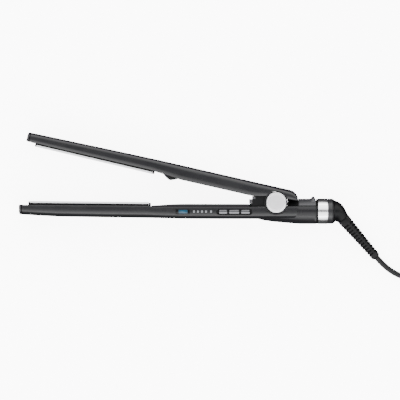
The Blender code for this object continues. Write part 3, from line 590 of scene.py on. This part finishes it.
def tip_cap(name, node, body, inner, outer, place):
    """Domed end cap on a narrower neck, which leaves a fine groove before the case; the neck is coloured
    black, as painted shade in the groove.
    """
    middle = (inner + outer) / 2

    def level(x, scale):
        return [(x, middle + (y - middle) * scale, MID_Z + (z - MID_Z) * (0.5 + 0.5 * scale))
                for y, z in section(inner, outer, ARM_HALF, 3.0, 0.4)]

    seam = TIP_X - 0.35
    rings = [level(TIP_X + 1.6, 0.72), level(seam, 0.72), level(seam - 0.02, 0.97), level(seam - 0.35, 1.0)]
    for i in range(1, 9):
        a = math.radians(90 * i / 8)
        rings.append(level(seam - 0.5 - 1.75 * math.sin(a), 1 - 0.34 * (1 - math.cos(a)) ** 1.4))
    cap = loft(name, rings, "tip", place, 40)
    # Second material for the neck's faces inside the groove: black, as painted shade.
    cap.data.materials.append(MAT["black"])
    neck = {i for i, v in enumerate(cap.data.vertices)
            if (place.inverted() @ v.co).x > (seam - 0.01) * MM}
    for poly in cap.data.polygons:
        if all(i in neck for i in poly.vertices):
            poly.material_index = 1
    mount(cap, body, "case", node)


def inner_cover(name, node, body, edge, case_gap, screws, place):
    """Cover that fills an arm's open side from its inner edge to case_gap, with screw seats."""
    side = -math.copysign(1.0, case_gap)
    rings = []
    for x, inner in eased_rows(edge, 3.0, 3):
        rim = case_gap + side * 0.3
        tongue = case_gap - side * 1.2
        wide = ARM_HALF - (0.5 if side > 0 else WALL + 0.35)
        slim = ARM_HALF - WALL - (0.5 if side > 0 else 0.7)
        round_by = min(1.2, 0.6 * abs(rim - inner))
        half = []
        for i in range(7):
            a = math.radians(15 * i)
            half.append((inner - side * round_by * (1 - math.cos(a)), wide - round_by * (1 - math.sin(a))))
        half += [(rim, wide), (rim, slim), (tongue, slim)]
        rings.append([(x, y, MID_Z + z) for y, z in half] + [(x, y, MID_Z - z) for y, z in reversed(half)])
    cover = loft(name, rings, "cover", place)
    tools = []
    for x, head_y in screws:
        top, seat, far = head_y + side * 3, head_y - side * 1.5, case_gap - side * 4
        for radius, start in ((2.6, seat), (1.5, far)):
            levels = [[(p, y, q) for p, q in circle((x, MID_Z), radius, 24)] for y in (start, top)]
            tools.append(loft("screw_hole", levels, "cover", place))
    boolean(cover, tools)
    soften(cover, 0.15, 2, 50)
    mount(cover, body, "cover", node)


def cover_screw(name, node, body, x, head_y, side, place):
    """Domed screw with a cross recess."""
    profile = [(head_y - side * 1.15, 2.2), (head_y - side * 0.2, 2.2), (head_y + side * 0.05, 1.9),
               (head_y + side * 0.2, 1.2)]
    rings = [[(p, y, q) for p, q in circle((x, MID_Z), radius, 48)] for y, radius in profile]
    head = loft(name, rings, "steel", place)
    near, far = head_y - side * 0.7, head_y + side * 1.0
    cross = []
    for across, along in ((1.15, 0.28), (0.28, 1.15)):
        low = (x - across, min(near, far), MID_Z - along)
        high = (x + across, max(near, far), MID_Z + along)
        cross.append(box("cross", low, high, "steel", place))
    boolean(head, cross)
    mount(head, body, "steel", node)


# ---- plates

def plate_layer(name, side, near, far, low, high, look, place, bevel):
    """Slab between two distances behind the line on which the plates meet, from z low to z high."""
    rings = []
    for x in PLATE_X:
        face, back = contact(x) + side * near, contact(x) + side * far
        rings.append([(x, back, high), (x, face, high), (x, face, low), (x, back, low)])
    return soften(loft(name, rings, look, place), bevel, 5, 40)


def plate(name, node, body, side, gap, place):
    """Coated plate with softened long edges, on a black heat-proof bed with a skirt down either side; their
    black is partly painted shade, for the shaded gap under the plate.
    """
    face, back, half = gap + PLATE_FACE, gap + PLATE_THICK, PLATE_HALF - 0.1
    # Bed and skirts in black: partly the dark carrier, partly painted shade of the gap under the plate.
    layers = [
        ("slab", gap, face, -PLATE_HALF, PLATE_HALF, "plate", 0.5, "plate_coating"),
        ("bed", face + 0.02, back, -half, half, "heat", 0.1, "heat_plastic"),
        ("skirt_front", back + 0.02, back + 1.6, half - 0.9, half, "heat", 0.1, "heat_plastic"),
        ("skirt_rear", back + 0.02, back + 1.6, -half, 0.9 - half, "heat", 0.1, "heat_plastic"),
    ]
    for layer, near, far, low, high, look, bevel, slot in layers:
        piece = plate_layer(f"{name}_{layer}", side, near, far, MID_Z + low, MID_Z + high, look,
                            place, bevel)
        mount(piece, body, slot, node)


# ---- pivot

def pivot_cap(name, node, out):
    """Turned cap with a raised bright rim and a black ring of painted shadow round it; out is +1 for the
    upper side, -1 for the resting side.
    """
    face = MID_Z + out * 15.0
    back = MID_Z + out * 13.1
    profile = [(back, 0.01), (back, 10.2), (face - out * 0.45, CAP_R), (face - out * 0.12, CAP_R - 0.12),
               (face, CAP_R - 0.4), (face - out * 0.02, CAP_R - 0.8), (face - out * 0.35, CAP_R - 1.15),
               (face - out * 0.5, CAP_R - 1.45), (face - out * 0.34, CAP_R - 1.75), (face - out * 0.22, 7.0),
               (face - out * 0.14, 3.0), (face - out * 0.12, 0.01)]
    cap = turned(name, profile, "cap", "Z", (0.0, 0.0), sides=128, sharp=40)
    cap.data.materials.append(MAT["rim"])
    for poly in cap.data.polygons:
        reach = math.hypot(poly.center.x, poly.center.y) / MM
        if reach > CAP_R - 1.0:
            poly.material_index = 1
    mount(cap, "root", "brushed_cap", node)
    # Black ring in the seat round the cap, where the gap around it falls in shade: painted shadow.
    near, far = MID_Z + out * 13.4, MID_Z + out * 14.3
    bore, reach = CAP_R + 0.15, CAP_R + 0.95
    profile = [(near, bore), (near, reach), (far, reach), (far, bore)]
    painted_shadow_ring = turned(f"{name}_shadow_ring", profile, "black", "Z", (0.0, 0.0))
    mount(painted_shadow_ring, "root", "dark_plastic")


# ---- barrel

def barrel():
    """Open trough whose edges stop at the split line, with a wall all round."""
    rings = []
    for x in [BARREL_X0] + list(range(-16, 41, 2)) + [40.1]:
        ring = []
        for wall, order in ((0.0, 1), (1.6, -1)):
            half, depth = BARREL_R - wall, barrel_depth(x) - wall
            limit = math.degrees(math.asin((SPLIT_Y - AXIS_Y) / half))
            angles = [limit * (1 - i / 6) for i in range(6)] + [-180 * i / 48 for i in range(49)]
            angles += [-180 - limit * (i + 1) / 6 for i in range(6)]
            ring += [oval_point(x, a, half, depth) for a in angles[::order]]
        rings.append(ring)
    shell = soften(loft("barrel_shell", rings, "barrel"), 0.25, 2, 50)
    mount(shell, "root", "case", "barrel")


def segment(radius, floor_y, steps):
    """The part of a circle about the barrel's axis that lies above floor_y, as (y, z)."""
    low = math.degrees(math.asin((floor_y - AXIS_Y) / radius))
    angles = [math.radians(low + (180 - 2 * low) * i / steps) for i in range(steps + 1)]
    return [(AXIS_Y + radius * math.sin(a), MID_Z + radius * math.cos(a)) for a in angles]


def lock_slider():
    """Curved shoe with fine cross serrations and a thumb ridge."""
    floor_y = SPLIT_Y + 0.75
    steps = 48
    stations = [(22.4, -0.3), (22.8, 0.0)]
    x = 23.6
    while x < 34.0:
        stations += [(x, 0.0), (x + 0.25, -0.35), (x + 0.55, -0.35), (x + 0.8, 0.0)]
        x += 1.3
    stations += [(34.6, 0.0), (35.3, 0.7), (36.2, 1.75), (37.0, 2.15), (37.8, 2.1), (38.5, 1.5), (39.1, 0.5),
                 (39.5, -0.1)]
    rings = []
    for x, lift in stations:
        ring = []
        for i, (y, z) in enumerate(segment(BARREL_R, floor_y, steps)):
            share = max(0.0, 1 - abs(i - steps / 2) / (16 if lift > 0 else 22))
            reach = 1 + lift * min(1.0, share * 2.2) / BARREL_R
            ring.append((x, AXIS_Y + (y - AXIS_Y) * reach, MID_Z + (z - MID_Z) * reach))
        inside = [(x, y, z) for y, z in segment(TRIM_BORE, floor_y, steps)[::-1]]
        rings.append(ring + inside)
    shoe = soften(loft("lock_slider_shoe", rings, "slider", sharp=50), 0.15, 2, 60)
    mount(shoe, "slider", "slider", "lock_slider")


def rear_rings():
    """Polished ring, the dark seam before it and the collar behind it."""
    ring = [(41.85, 12.35), (41.95, 12.6), (42.25, BARREL_R), (51.3, BARREL_R), (51.6, 12.6), (51.7, 12.35),
            (51.7, TRIM_BORE), (41.85, TRIM_BORE)]
    band = turned("polished_ring_band", ring, "ring", sharp=50)
    mount(band, "root", "polished_metal", "polished_ring")
    seam = [(40.45, 12.45), (40.6, 12.5), (41.45, 12.5), (41.55, 12.4), (41.55, 11.0), (40.45, 11.0)]
    mount(turned("seam_band", seam, "black"), "root", "dark_plastic", "seam_ring")
    collar = [(52.05, 12.4), (52.3, 12.62), (55.9, 12.62), (56.2, 12.35), (56.4, 12.35), (56.6, 12.6),
              (56.9, 12.5), (56.9, TRIM_BORE), (52.05, TRIM_BORE)]
    mount(turned("collar_band", collar, "collar"), "root", "collar", "rear_collar")


# ---- cord outlet

def elbow():
    """Moulded bend from the collar to the strain relief, as x, y, radius and direction."""
    stations = [(57.25, AXIS_Y, 12.2, 0), (57.5, AXIS_Y, 12.1, 0), (59.0, AXIS_Y, 10.9, 0),
                (61.0, -9.2, 10.0, -10), (63.0, -10.6, 8.9, -24), (65.0, -13.1, 7.5, -38),
                (67.0, -15.9, 6.3, RELIEF_ANGLE)]
    rings = []
    for x, y, radius, direction in curve_rows(stations, 6):
        a = math.radians(direction)
        normal = Vector((-math.sin(a), math.cos(a), 0))
        ring = []
        for i in range(64):
            t = 2 * math.pi * i / 64
            spoke = math.cos(t) * normal + math.sin(t) * Vector((0, 0, 1))
            ring.append(Vector((x, y, MID_Z)) + radius * spoke)
        rings.append(ring)
    piece = loft("elbow_moulding", rings, "outlet", LEAN, 50)
    mount(piece, "outlet", "outlet_rubber", "cord_elbow")


def relief_loft(name, rings, turn=0):
    """A body along the relief from rings of (distance, across, up) points, turned about its axis."""
    a = math.radians(RELIEF_ANGLE)
    along = Vector((math.cos(a), math.sin(a), 0))
    spin = Matrix.Rotation(math.radians(turn), 3, along)
    across, up = spin @ Vector((-math.sin(a), math.cos(a), 0)), spin @ Vector((0, 0, 1))
    start = Vector((*RELIEF_START, MID_Z))
    placed = [[start + along * s + across * u + up * v for s, u, v in ring] for ring in rings]
    return loft(name, placed, "relief", LEAN, 45)


def tooth_size(s):
    """Half width of the relief's teeth at a distance from its start."""
    return 5.95 - 1.35 * (s - RELIEF_FIRST) / (RELIEF_PITCH * (RELIEF_TEETH - 1))


def strain_relief():
    """Rounded square rings on a core, tied together by a rib on each face, between two plain blocks."""
    half, edge, flat, core_flat = 1.0, 0.2, 0.9, 0.93
    before = RELIEF_FIRST - RELIEF_PITCH
    last = RELIEF_FIRST + RELIEF_PITCH * RELIEF_TEETH
    levels = [(0.35, 5.9, 5.5), (0.8, 6.15, 5.75), (before + half - edge, 6.05, 5.65),
              (before + half, 5.7, 5.3)]
    for i in range(RELIEF_TEETH):
        middle = RELIEF_FIRST + RELIEF_PITCH * i
        size = tooth_size(middle)
        core = size - 2.1
        levels += [(middle - RELIEF_PITCH + half + 0.05, core, core * core_flat),
                   (middle - half - 0.05, core, core * core_flat),
                   (middle - half, size - edge, flat * size - edge),
                   (middle - half + edge, size, flat * size), (middle + half - edge, size, flat * size),
                   (middle + half, size - edge, flat * size - edge)]
    levels += [(last - RELIEF_PITCH + half + 0.05, 2.7, 2.6), (last - half - 0.05, 2.7, 2.6),
               (last - half, 4.3, 3.8), (last - half + edge, 4.6, 4.1), (RELIEF_LENGTH - 1.6, 4.3, 3.85),
               (RELIEF_LENGTH - 0.9, 3.8, 3.4), (RELIEF_LENGTH - 0.6, 3.3, 3.0), (RELIEF_LENGTH, 3.0, 2.9)]
    round_trip = [2 * math.pi * i / 40 for i in range(40)]
    rings = [[(s, signed_power(math.cos(t), 0.5) * wide, signed_power(math.sin(t), 0.5) * high)
              for t in round_trip] for s, wide, high in levels]
    body = relief_loft("strain_relief_ladder", rings)
    mount(body, "outlet", "relief_rubber", "strain_relief")
    rings = []
    for s, wide, high, tooth in ((before + 0.5, 1.25, 0.55, before + 0.5), (last - 0.5, 0.95, 0.5, last)):
        rise = flat * tooth_size(tooth) - 0.75
        span = (RIB_SHIFT - wide, RIB_SHIFT + wide), (rise - high, rise + high)
        rings.append([(s, u, v) for u, v in inset_outline(*span, 0, 0.3, 3)])
    for number, turn in enumerate((0, 180), 1):
        rib = relief_loft(f"relief_rib_{number}", rings, turn)
        mount(rib, "outlet", "relief_rubber")


# ---- controls

def side_height(y, drop=0.0):
    """Height of the lower arm's upper flank at y, in the handle."""
    inner, outer, power = HANDLE
    straight = 0.2 * (outer - inner)
    share = max(0.0, (y - inner - straight) / (outer - inner - straight))
    return MID_Z + ARM_HALF * (1 - share ** power) ** (1 / power) - drop


def flank_pad(name, outline, drop, depth, look, bevel):
    """A pad whose top follows the arm's flank, drop below it."""
    top = [(x, y, side_height(y, drop)) for x, y in outline]
    low = [(x, y, side_height(y, drop) - depth) for x, y in outline]
    pad = loft(name, [low, top], look)
    return soften(pad, bevel, 3, 50)


def controls():
    """Display, indicator marks and the three keys in their frame, all set into the handle's flank."""
    lens = flank_pad("display_window", inset_outline(LENS_X, LENS_Y, 0.3, 0.5, 4), 0.12, 1.1,
                     "window", 0.12)
    glow = flank_pad("display_glow", inset_outline(GLOW_X, GLOW_Y, 0, 0.6, 4), 0.1, 0.4,
                     "display", 0.05)
    mount(glow, "root", "display")
    mount(lens, "root", "display", "display_lens")
    outline = inset_outline(LENS_X, LENS_Y, 0.1, 0.6)
    surround = prism("display_surround", outline, 27.2, 28.0, "black")
    mount(surround, "root", "dark_plastic")
    for i, x in enumerate(MARKS_X):
        outline = inset_outline((x - MARK_HALF, x + MARK_HALF), MARK_Y, 0.2, 0.3, 3)
        mark = flank_pad(f"mark_{i + 1}", outline, 0.1, 1.6, "mark", 0.08)
        mount(mark, "root", "indicator")
    outline = inset_outline(RECESS_X, RECESS_Y, 0.2, 2.4)
    bezel = flank_pad("button_bezel", outline, 0.6, 1.3, "black", 0.1)
    tools = []
    for name, span in BUTTONS.items():
        outline = inset_outline(span, BUTTON_Y, -0.3, 0.8)
        tools.append(prism(f"hole_{name}", outline, *POCKET_Z, "black"))
    boolean(bezel, tools)
    mount(bezel, "root", "dark_plastic", "button_frame")
    bodies = {"button_power": "power_key", "button_up": "up_key", "button_down": "down_key"}
    for name, (x0, x1) in BUTTONS.items():
        key = button_key(f"{name}_key", x0, x1)
        mount(key, bodies[name], "button", name)


def button_key(name, x0, x1):
    """Key with a low rounded ridge along its outer half and softened corners; the faces of the groove beyond
    it are coloured black, as painted shade.
    """
    y0, y1 = BUTTON_Y
    columns, corner = 40, 0.7
    rings = []
    for i in range(columns + 1):
        x = x0 + (x1 - x0) * i / columns
        near = min(x - x0, x1 - x)
        pull = corner - math.sqrt(max(0.0, corner ** 2 - (corner - near) ** 2)) if near < corner else 0.0
        sink = 0.25 * max(0.0, 1 - near / 0.35) ** 2
        low, high = y0 + pull, y1 - pull
        ring = []
        for j in range(17):
            t = j / 16
            y = low + (high - low) * t
            edge = 0.22 * max(0.0, 1 - min(t, 1 - t) / 0.1) ** 2
            ridge = 0.2 * math.exp(-((t - 0.28) / 0.2) ** 2) - (0.45 if 0.6 < t < 0.8 else 0.0)
            ring.append((x, y, min(FACE_Z, side_height(y)) + 0.02 + ridge - edge - sink))
        base = [(x, low + (high - low) * j / 16, KEY_FOOT_Z) for j in range(16, -1, -1)]
        rings.append(ring + base)
    key = loft(name, rings, "button", sharp=50)
    # The groove's faces take the black material: painted shade in the groove.
    key.data.materials.append(MAT["black"])
    groove = (y0 + (y1 - y0) * 0.56, y0 + (y1 - y0) * 0.84)
    for poly in key.data.polygons:
        if groove[0] < poly.center.y / MM < groove[1] and poly.center.z > 28.2 * MM:
            poly.material_index = 1
    return key


# ---- cord

def coil_point(angle, radius, z):
    a = math.radians(angle)
    return COIL_CENTRE[0] + radius * math.cos(a), COIL_CENTRE[1] + radius * math.sin(a), z


def coil_turns():
    """Turn by turn: the first layer winds inwards, the second outwards, the third inwards again."""
    order = COIL_RADII + COIL_RADII[::-1] + COIL_RADII
    heights = [z for z in COIL_HEIGHTS for _ in COIL_RADII]
    first = 250.0
    per_turn = 24
    points = []
    total = len(order)
    for step in range(int(per_turn * (total - 0.3))):
        turn = step / per_turn
        index = min(int(turn), total - 1)
        nxt = min(index + 1, total - 1)
        share = max(0.0, (turn - index - 0.8) / 0.2)
        share = share * share * (3 - 2 * share)
        radius = order[index] + (order[nxt] - order[index]) * share
        height = heights[index] + (heights[nxt] - heights[index]) * share
        points.append(coil_point(first + 360 * turn, radius, height))
    return points


def cord():
    """The cord's whole route, from the relief through the coil to the plug."""
    lead_out = [(101.75, -55.4, 4.5), (106.2, -60.2, 3.5), (112.5, -66.0, 2.9), (120.0, -71.0, 2.85),
                (129.0, -75.2, 2.95), (138.0, -78.6, 3.3), (145.6, -81.4, 3.7), (155.0, -84.9, 3.95)]
    tail = [coil_point(175, 26.5, 19.2), coil_point(185, 28.0, 20.4), coil_point(218, 34.0, 20.95),
            coil_point(248, 40.5, 20.95), coil_point(273, 46.5, 20.6), coil_point(294, 52.0, 15.2),
            coil_point(312, 56.5, 7.6), coil_point(335, 61.5, 3.3), (243.4, -66.5, 4.6), (245.5, -56.8, 6.7),
            (246.0, -52.0, 7.0)]
    route = lead_out + coil_turns() + tail
    curve = bpy.data.curves.new("power_cord", "CURVE")
    curve.dimensions = "3D"
    curve.bevel_depth = CORD_R * MM
    curve.bevel_resolution = 5
    curve.use_fill_caps = True
    curve.twist_mode = "MINIMUM"
    fine = [Vector(row) for row in curve_rows(route, 3)]
    spline = curve.splines.new("POLY")
    spline.points.add(len(fine) - 1)
    for point, place in zip(spline.points, fine):
        point.co = (*(place * MM), 1.0)
    curve.materials.append(MAT["cord"])
    drawn = bpy.data.objects.new("drawn_route", curve)
    bpy.context.scene.collection.objects.link(drawn)
    tube = bpy.data.objects.new("power_cord", bpy.data.meshes.new_from_object(drawn))
    bpy.context.scene.collection.objects.link(tube)
    bpy.data.objects.remove(drawn)
    return tube, fine


def strap():
    """Hook-and-loop strap around the turns."""
    x = COIL_CENTRE[0]
    y0, y1 = COIL_CENTRE[1] + 20.2, COIL_CENTRE[1] + 45.2
    z0, z1 = 0.1, 18.9
    outer = rounded_outline(y0, y1, z0, z1, 3.0)
    inner = rounded_outline(y0 + 0.8, y1 - 0.8, z0 + 0.75, z1 - 0.75, 2.4)
    verts = []
    for px in (x - 4.8, x + 4.8):
        verts += [(px, y, z) for y, z in outer] + [(px, y, z) for y, z in inner]
    n = len(outer)
    faces = []
    for j in range(n):
        k = (j + 1) % n
        faces.append((j, k, 2 * n + k, 2 * n + j))
        faces.append((n + j, 3 * n + j, 3 * n + k, n + k))
        faces.append((j, n + j, n + k, k))
        faces.append((2 * n + j, 2 * n + k, 3 * n + k, 3 * n + j))
    band = soften(make("coil_strap", verts, faces, "tie"), 0.25, 2, 50)
    mount(band, "root", "tie", "cord_tie")
    return band


def plug():
    """Flat two-pin plug with a ribbed neck and sleeved pins."""
    outline = [(-51.6, 3.4, 3.4), (-50.8, 3.9, 3.8), (-46, 4.2, 4.0), (-38.0, 4.7, 4.4), (-36.0, 7.0, 5.3),
               (-30.0, 10.6, 6.1), (-24.0, 13.5, 6.5), (-17.0, 16.0, 6.8), (-11.0, 17.2, 6.9),
               (-2.2, 17.4, 6.9), (-1.0, 17.1, 6.6), (-0.6, 16.4, 6.0)]
    rings = []
    for y, half, thick in curve_rows(outline, 4):
        ring = []
        for i in range(64):
            a = 2 * math.pi * i / 64
            across, up = signed_power(math.cos(a), 0.6), signed_power(math.sin(a), 0.6)
            rib = -0.35 if y < -38.5 and (y + 52) % 2.6 < 1.1 else 0.0
            ring.append((PLUG_X + (half + rib) * across, y, PLUG_Z + (thick + rib) * up))
        rings.append(ring)
    body = loft("plug_moulding", rings, "plug", sharp=50)
    mount(body, "root", "plug", "plug_body")
    pieces = [body]
    for side, shift in (("left", -9.3), ("right", 9.3)):
        profile = [(-0.25, 2.0), (9.6, 2.0), (9.8, 1.9), (17.2, 1.9), (18.2, 1.5), (18.6, 0.8)]
        rings = [[(p, y, q) for p, q in circle((PLUG_X + shift, PLUG_Z), radius, 32)]
                 for y, radius in profile]
        pin = loft(f"pin_{side}", rings, "pin", sharp=40)
        pin.data.materials.append(MAT["sleeve"])
        for poly in pin.data.polygons:
            if poly.center.y < PIN_SLEEVE_END * MM:
                poly.material_index = 1
        mount(pin, "root", "nickel", f"plug_pin_{side}")
        pieces.append(pin)
    return pieces


# ---- carried-over nodes, stage, camera

NODE_LOOKS = {
    "heat": ("upper_plate_carrier", "lower_plate_carrier"),
    "ceramic": ("upper_heater", "lower_heater"),
    "steel": ("upper_leaf_spring", "lower_leaf_spring", "upper_thermal_fuse", "lower_thermal_fuse",
              "hinge_pin", "torsion_spring"),
    "black": ("hinge_core", "lock_track", "swivel_bush", "swivel_spindle", "display_module", "switch_pad"),
    "brass": ("slip_ring_front", "slip_ring_rear", "contact_brushes"),
    "board": ("circuit_board",),
    "mark": ("indicator_bar",),
    "wire": ("mains_lead_left", "mains_lead_right", "lower_heater_lead", "upper_heater_lead"),
    "bumper": ("upper_bumper",),
}


def dress_nodes():
    """Gives the CAD nodes that stay their materials."""
    for look, names in NODE_LOOKS.items():
        for node in names:
            mesh = frame["nodes"][node].data
            mesh.materials.clear()
            mesh.materials.append(MAT[look])


def slot_liners():
    """Black walls inside the hinge and slider, which close the slots between their parts."""
    for name, low, high in (("slot_liner_long", (21.2, -4.9, 9), (40.3, -2.4, 21)),
                            ("slot_liner_middle", (11.3, -4.9, 9), (21.1, 0.3, 21)),
                            ("slot_liner_low", (12.3, 0.5, 3.4), (20.2, 4.6, 4.5)),
                            ("nose_filler", (-27.0, -4.9, 4), (-24.1, -1.6, 26))):
        strip = box(name, low, high, "black")
        mount(strip, "root", "dark_plastic")


def nose_tabs():
    """Two stepped lugs let into the top of the hinge core's nose."""
    for name, low, high in (("nose_tab_front", (-26.4, -1.2, 27.0), (-23.9, 3.3, 27.6)),
                            ("nose_tab_rear", (-23.4, 3.6, 27.0), (-20.8, 6.3, 27.6))):
        tab = soften(box(name, low, high, "tab"), 0.25, 3, 40)
        mount(tab, "root", "dark_plastic")


def stage():
    """A white floor that glows for the camera only, just under the object."""
    reach, level = 100000, -0.05
    verts = [(-reach, -reach, level), (reach, -reach, level), (reach, reach, level), (-reach, reach, level)]
    MAT["floor"], shader = new_material("floor_white", (0.9, 0.9, 0.9), 0.9, specular=0.1)
    shader.inputs["Emission Color"].default_value = (1.0, 1.0, 1.0, 1.0)
    shader.inputs["Emission Strength"].default_value = 7.5
    floor = make("floor", verts, [(0, 1, 2, 3)], "floor")
    if floor.data.polygons[0].normal.z < 0:
        floor.data.flip_normals()
    floor.visible_glossy = False
    floor.visible_diffuse = False


def world():
    """A soft tent, bright at the sides, with a dark opening overhead and no light from below."""
    sky = bpy.data.worlds.new("studio")
    bpy.context.scene.world = sky
    sky.use_nodes = True
    tree = sky.node_tree
    nodes, links = tree.nodes, tree.links
    coords = nodes.new("ShaderNodeTexCoord")
    turn = nodes.new("ShaderNodeMapping")
    turn.inputs["Rotation"].default_value = (math.radians(4.0), 0, 0)
    links.new(coords.outputs["Generated"], turn.inputs["Vector"])
    split = nodes.new("ShaderNodeSeparateXYZ")
    links.new(turn.outputs["Vector"], split.inputs["Vector"])
    sideways = math_node(tree, "ABSOLUTE", split.outputs["Y"])
    polar = math_node(tree, "ARCTAN2", sideways, split.outputs["Z"])
    share = math_node(tree, "DIVIDE", polar, math.pi)
    ramp = nodes.new("ShaderNodeValToRGB")
    links.new(share, ramp.inputs["Fac"])
    # Degrees from straight up, and brightness.
    stops = [(0, 0.10), (8, 0.11), (15, 0.7), (40, 1.0), (68, 1.0), (83, 0.4), (93, 0.025), (180, 0.01)]
    for angle, _ in stops[1:-1]:
        ramp.color_ramp.elements.new(angle / 180)
    for element, (_, value) in zip(ramp.color_ramp.elements, stops):
        element.color = (value, value, value, 1.0)
    links.new(ramp.outputs["Color"], nodes["Background"].inputs["Color"])
    nodes["Background"].inputs["Strength"].default_value = 4.2


def lights():
    """A long soft box on either side, low enough to draw a line of light along each arm."""
    for name, place, size, power in (("side_front", (-0.08, -0.9, 0.75), (1.6, 0.25), 4.0),
                                     ("side_back", (-0.08, 1.1, 0.5), (1.6, 0.25), 3.0)):
        data = bpy.data.lights.new(name, "AREA")
        data.shape = "RECTANGLE"
        data.size, data.size_y = size
        data.energy = power
        lamp = bpy.data.objects.new(name, data)
        bpy.context.scene.collection.objects.link(lamp)
        lamp.location = place
        aim = Vector((place[0], 0.0, 0.0)) - Vector(place)
        lamp.rotation_euler = aim.to_track_quat("-Z", "Y").to_euler()


def camera():
    """Straight down through a long lens from high above."""
    data = bpy.data.cameras.new("camera")
    data.lens = 234.0
    data.sensor_width = 36.0
    data.clip_end = 200.0
    view = bpy.data.objects.new("camera", data)
    bpy.context.scene.collection.objects.link(view)
    view.location = (-0.076, 0.0025, 2.618)
    bpy.context.scene.camera = view


camera()
world()
lights()
stage()

power_cord, route = cord()
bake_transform(power_cord)
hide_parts("cord_lead", "cord_coil", "cord_tail")
cord_strap = strap()
plug_pieces = plug()

lower_case()
upper_case()
tip_cap("lower_tip", "lower_tip_cap", "root", -2.0, -12.0, STAY)
tip_cap("upper_tip", "upper_tip_cap", "upper_arm", 5.3, 14.8, OPEN)
inner_cover("lower_cover", "lower_inner_cover", "root", LOWER_COVER_EDGE, LOWER_GAP_Y,
            [(-119.0, -2.9), (-106.0, -2.1)], STAY)
inner_cover("upper_cover", "upper_inner_cover", "upper_arm", UPPER_COVER_EDGE, UPPER_GAP_Y,
            [(-90.0, 2.5), (-36.0, 2.0)], OPEN)
cover_screw("lower_screw_a", "lower_screw_front", "root", -119.0, -3.1, 1, STAY)
cover_screw("lower_screw_b", "lower_screw_rear", "root", -106.0, -2.3, 1, STAY)
cover_screw("upper_screw_a", "upper_screw_front", "upper_arm", -90.0, 2.7, -1, OPEN)
cover_screw("upper_screw_b", "upper_screw_rear", "upper_arm", -36.0, 2.2, -1, OPEN)
plate("lower_plate", "lower_plate", "lower_float", -1, 0.0, STAY)
plate("upper_plate", "upper_plate", "upper_float", 1, 0.45, OPEN)
pivot_cap("front_cap", "pivot_cap_front", 1)
pivot_cap("rear_cap", "pivot_cap_rear", -1)
barrel()
lock_slider()
rear_rings()
elbow()
strain_relief()
controls()
dress_nodes()
nose_tabs()
slot_liners()
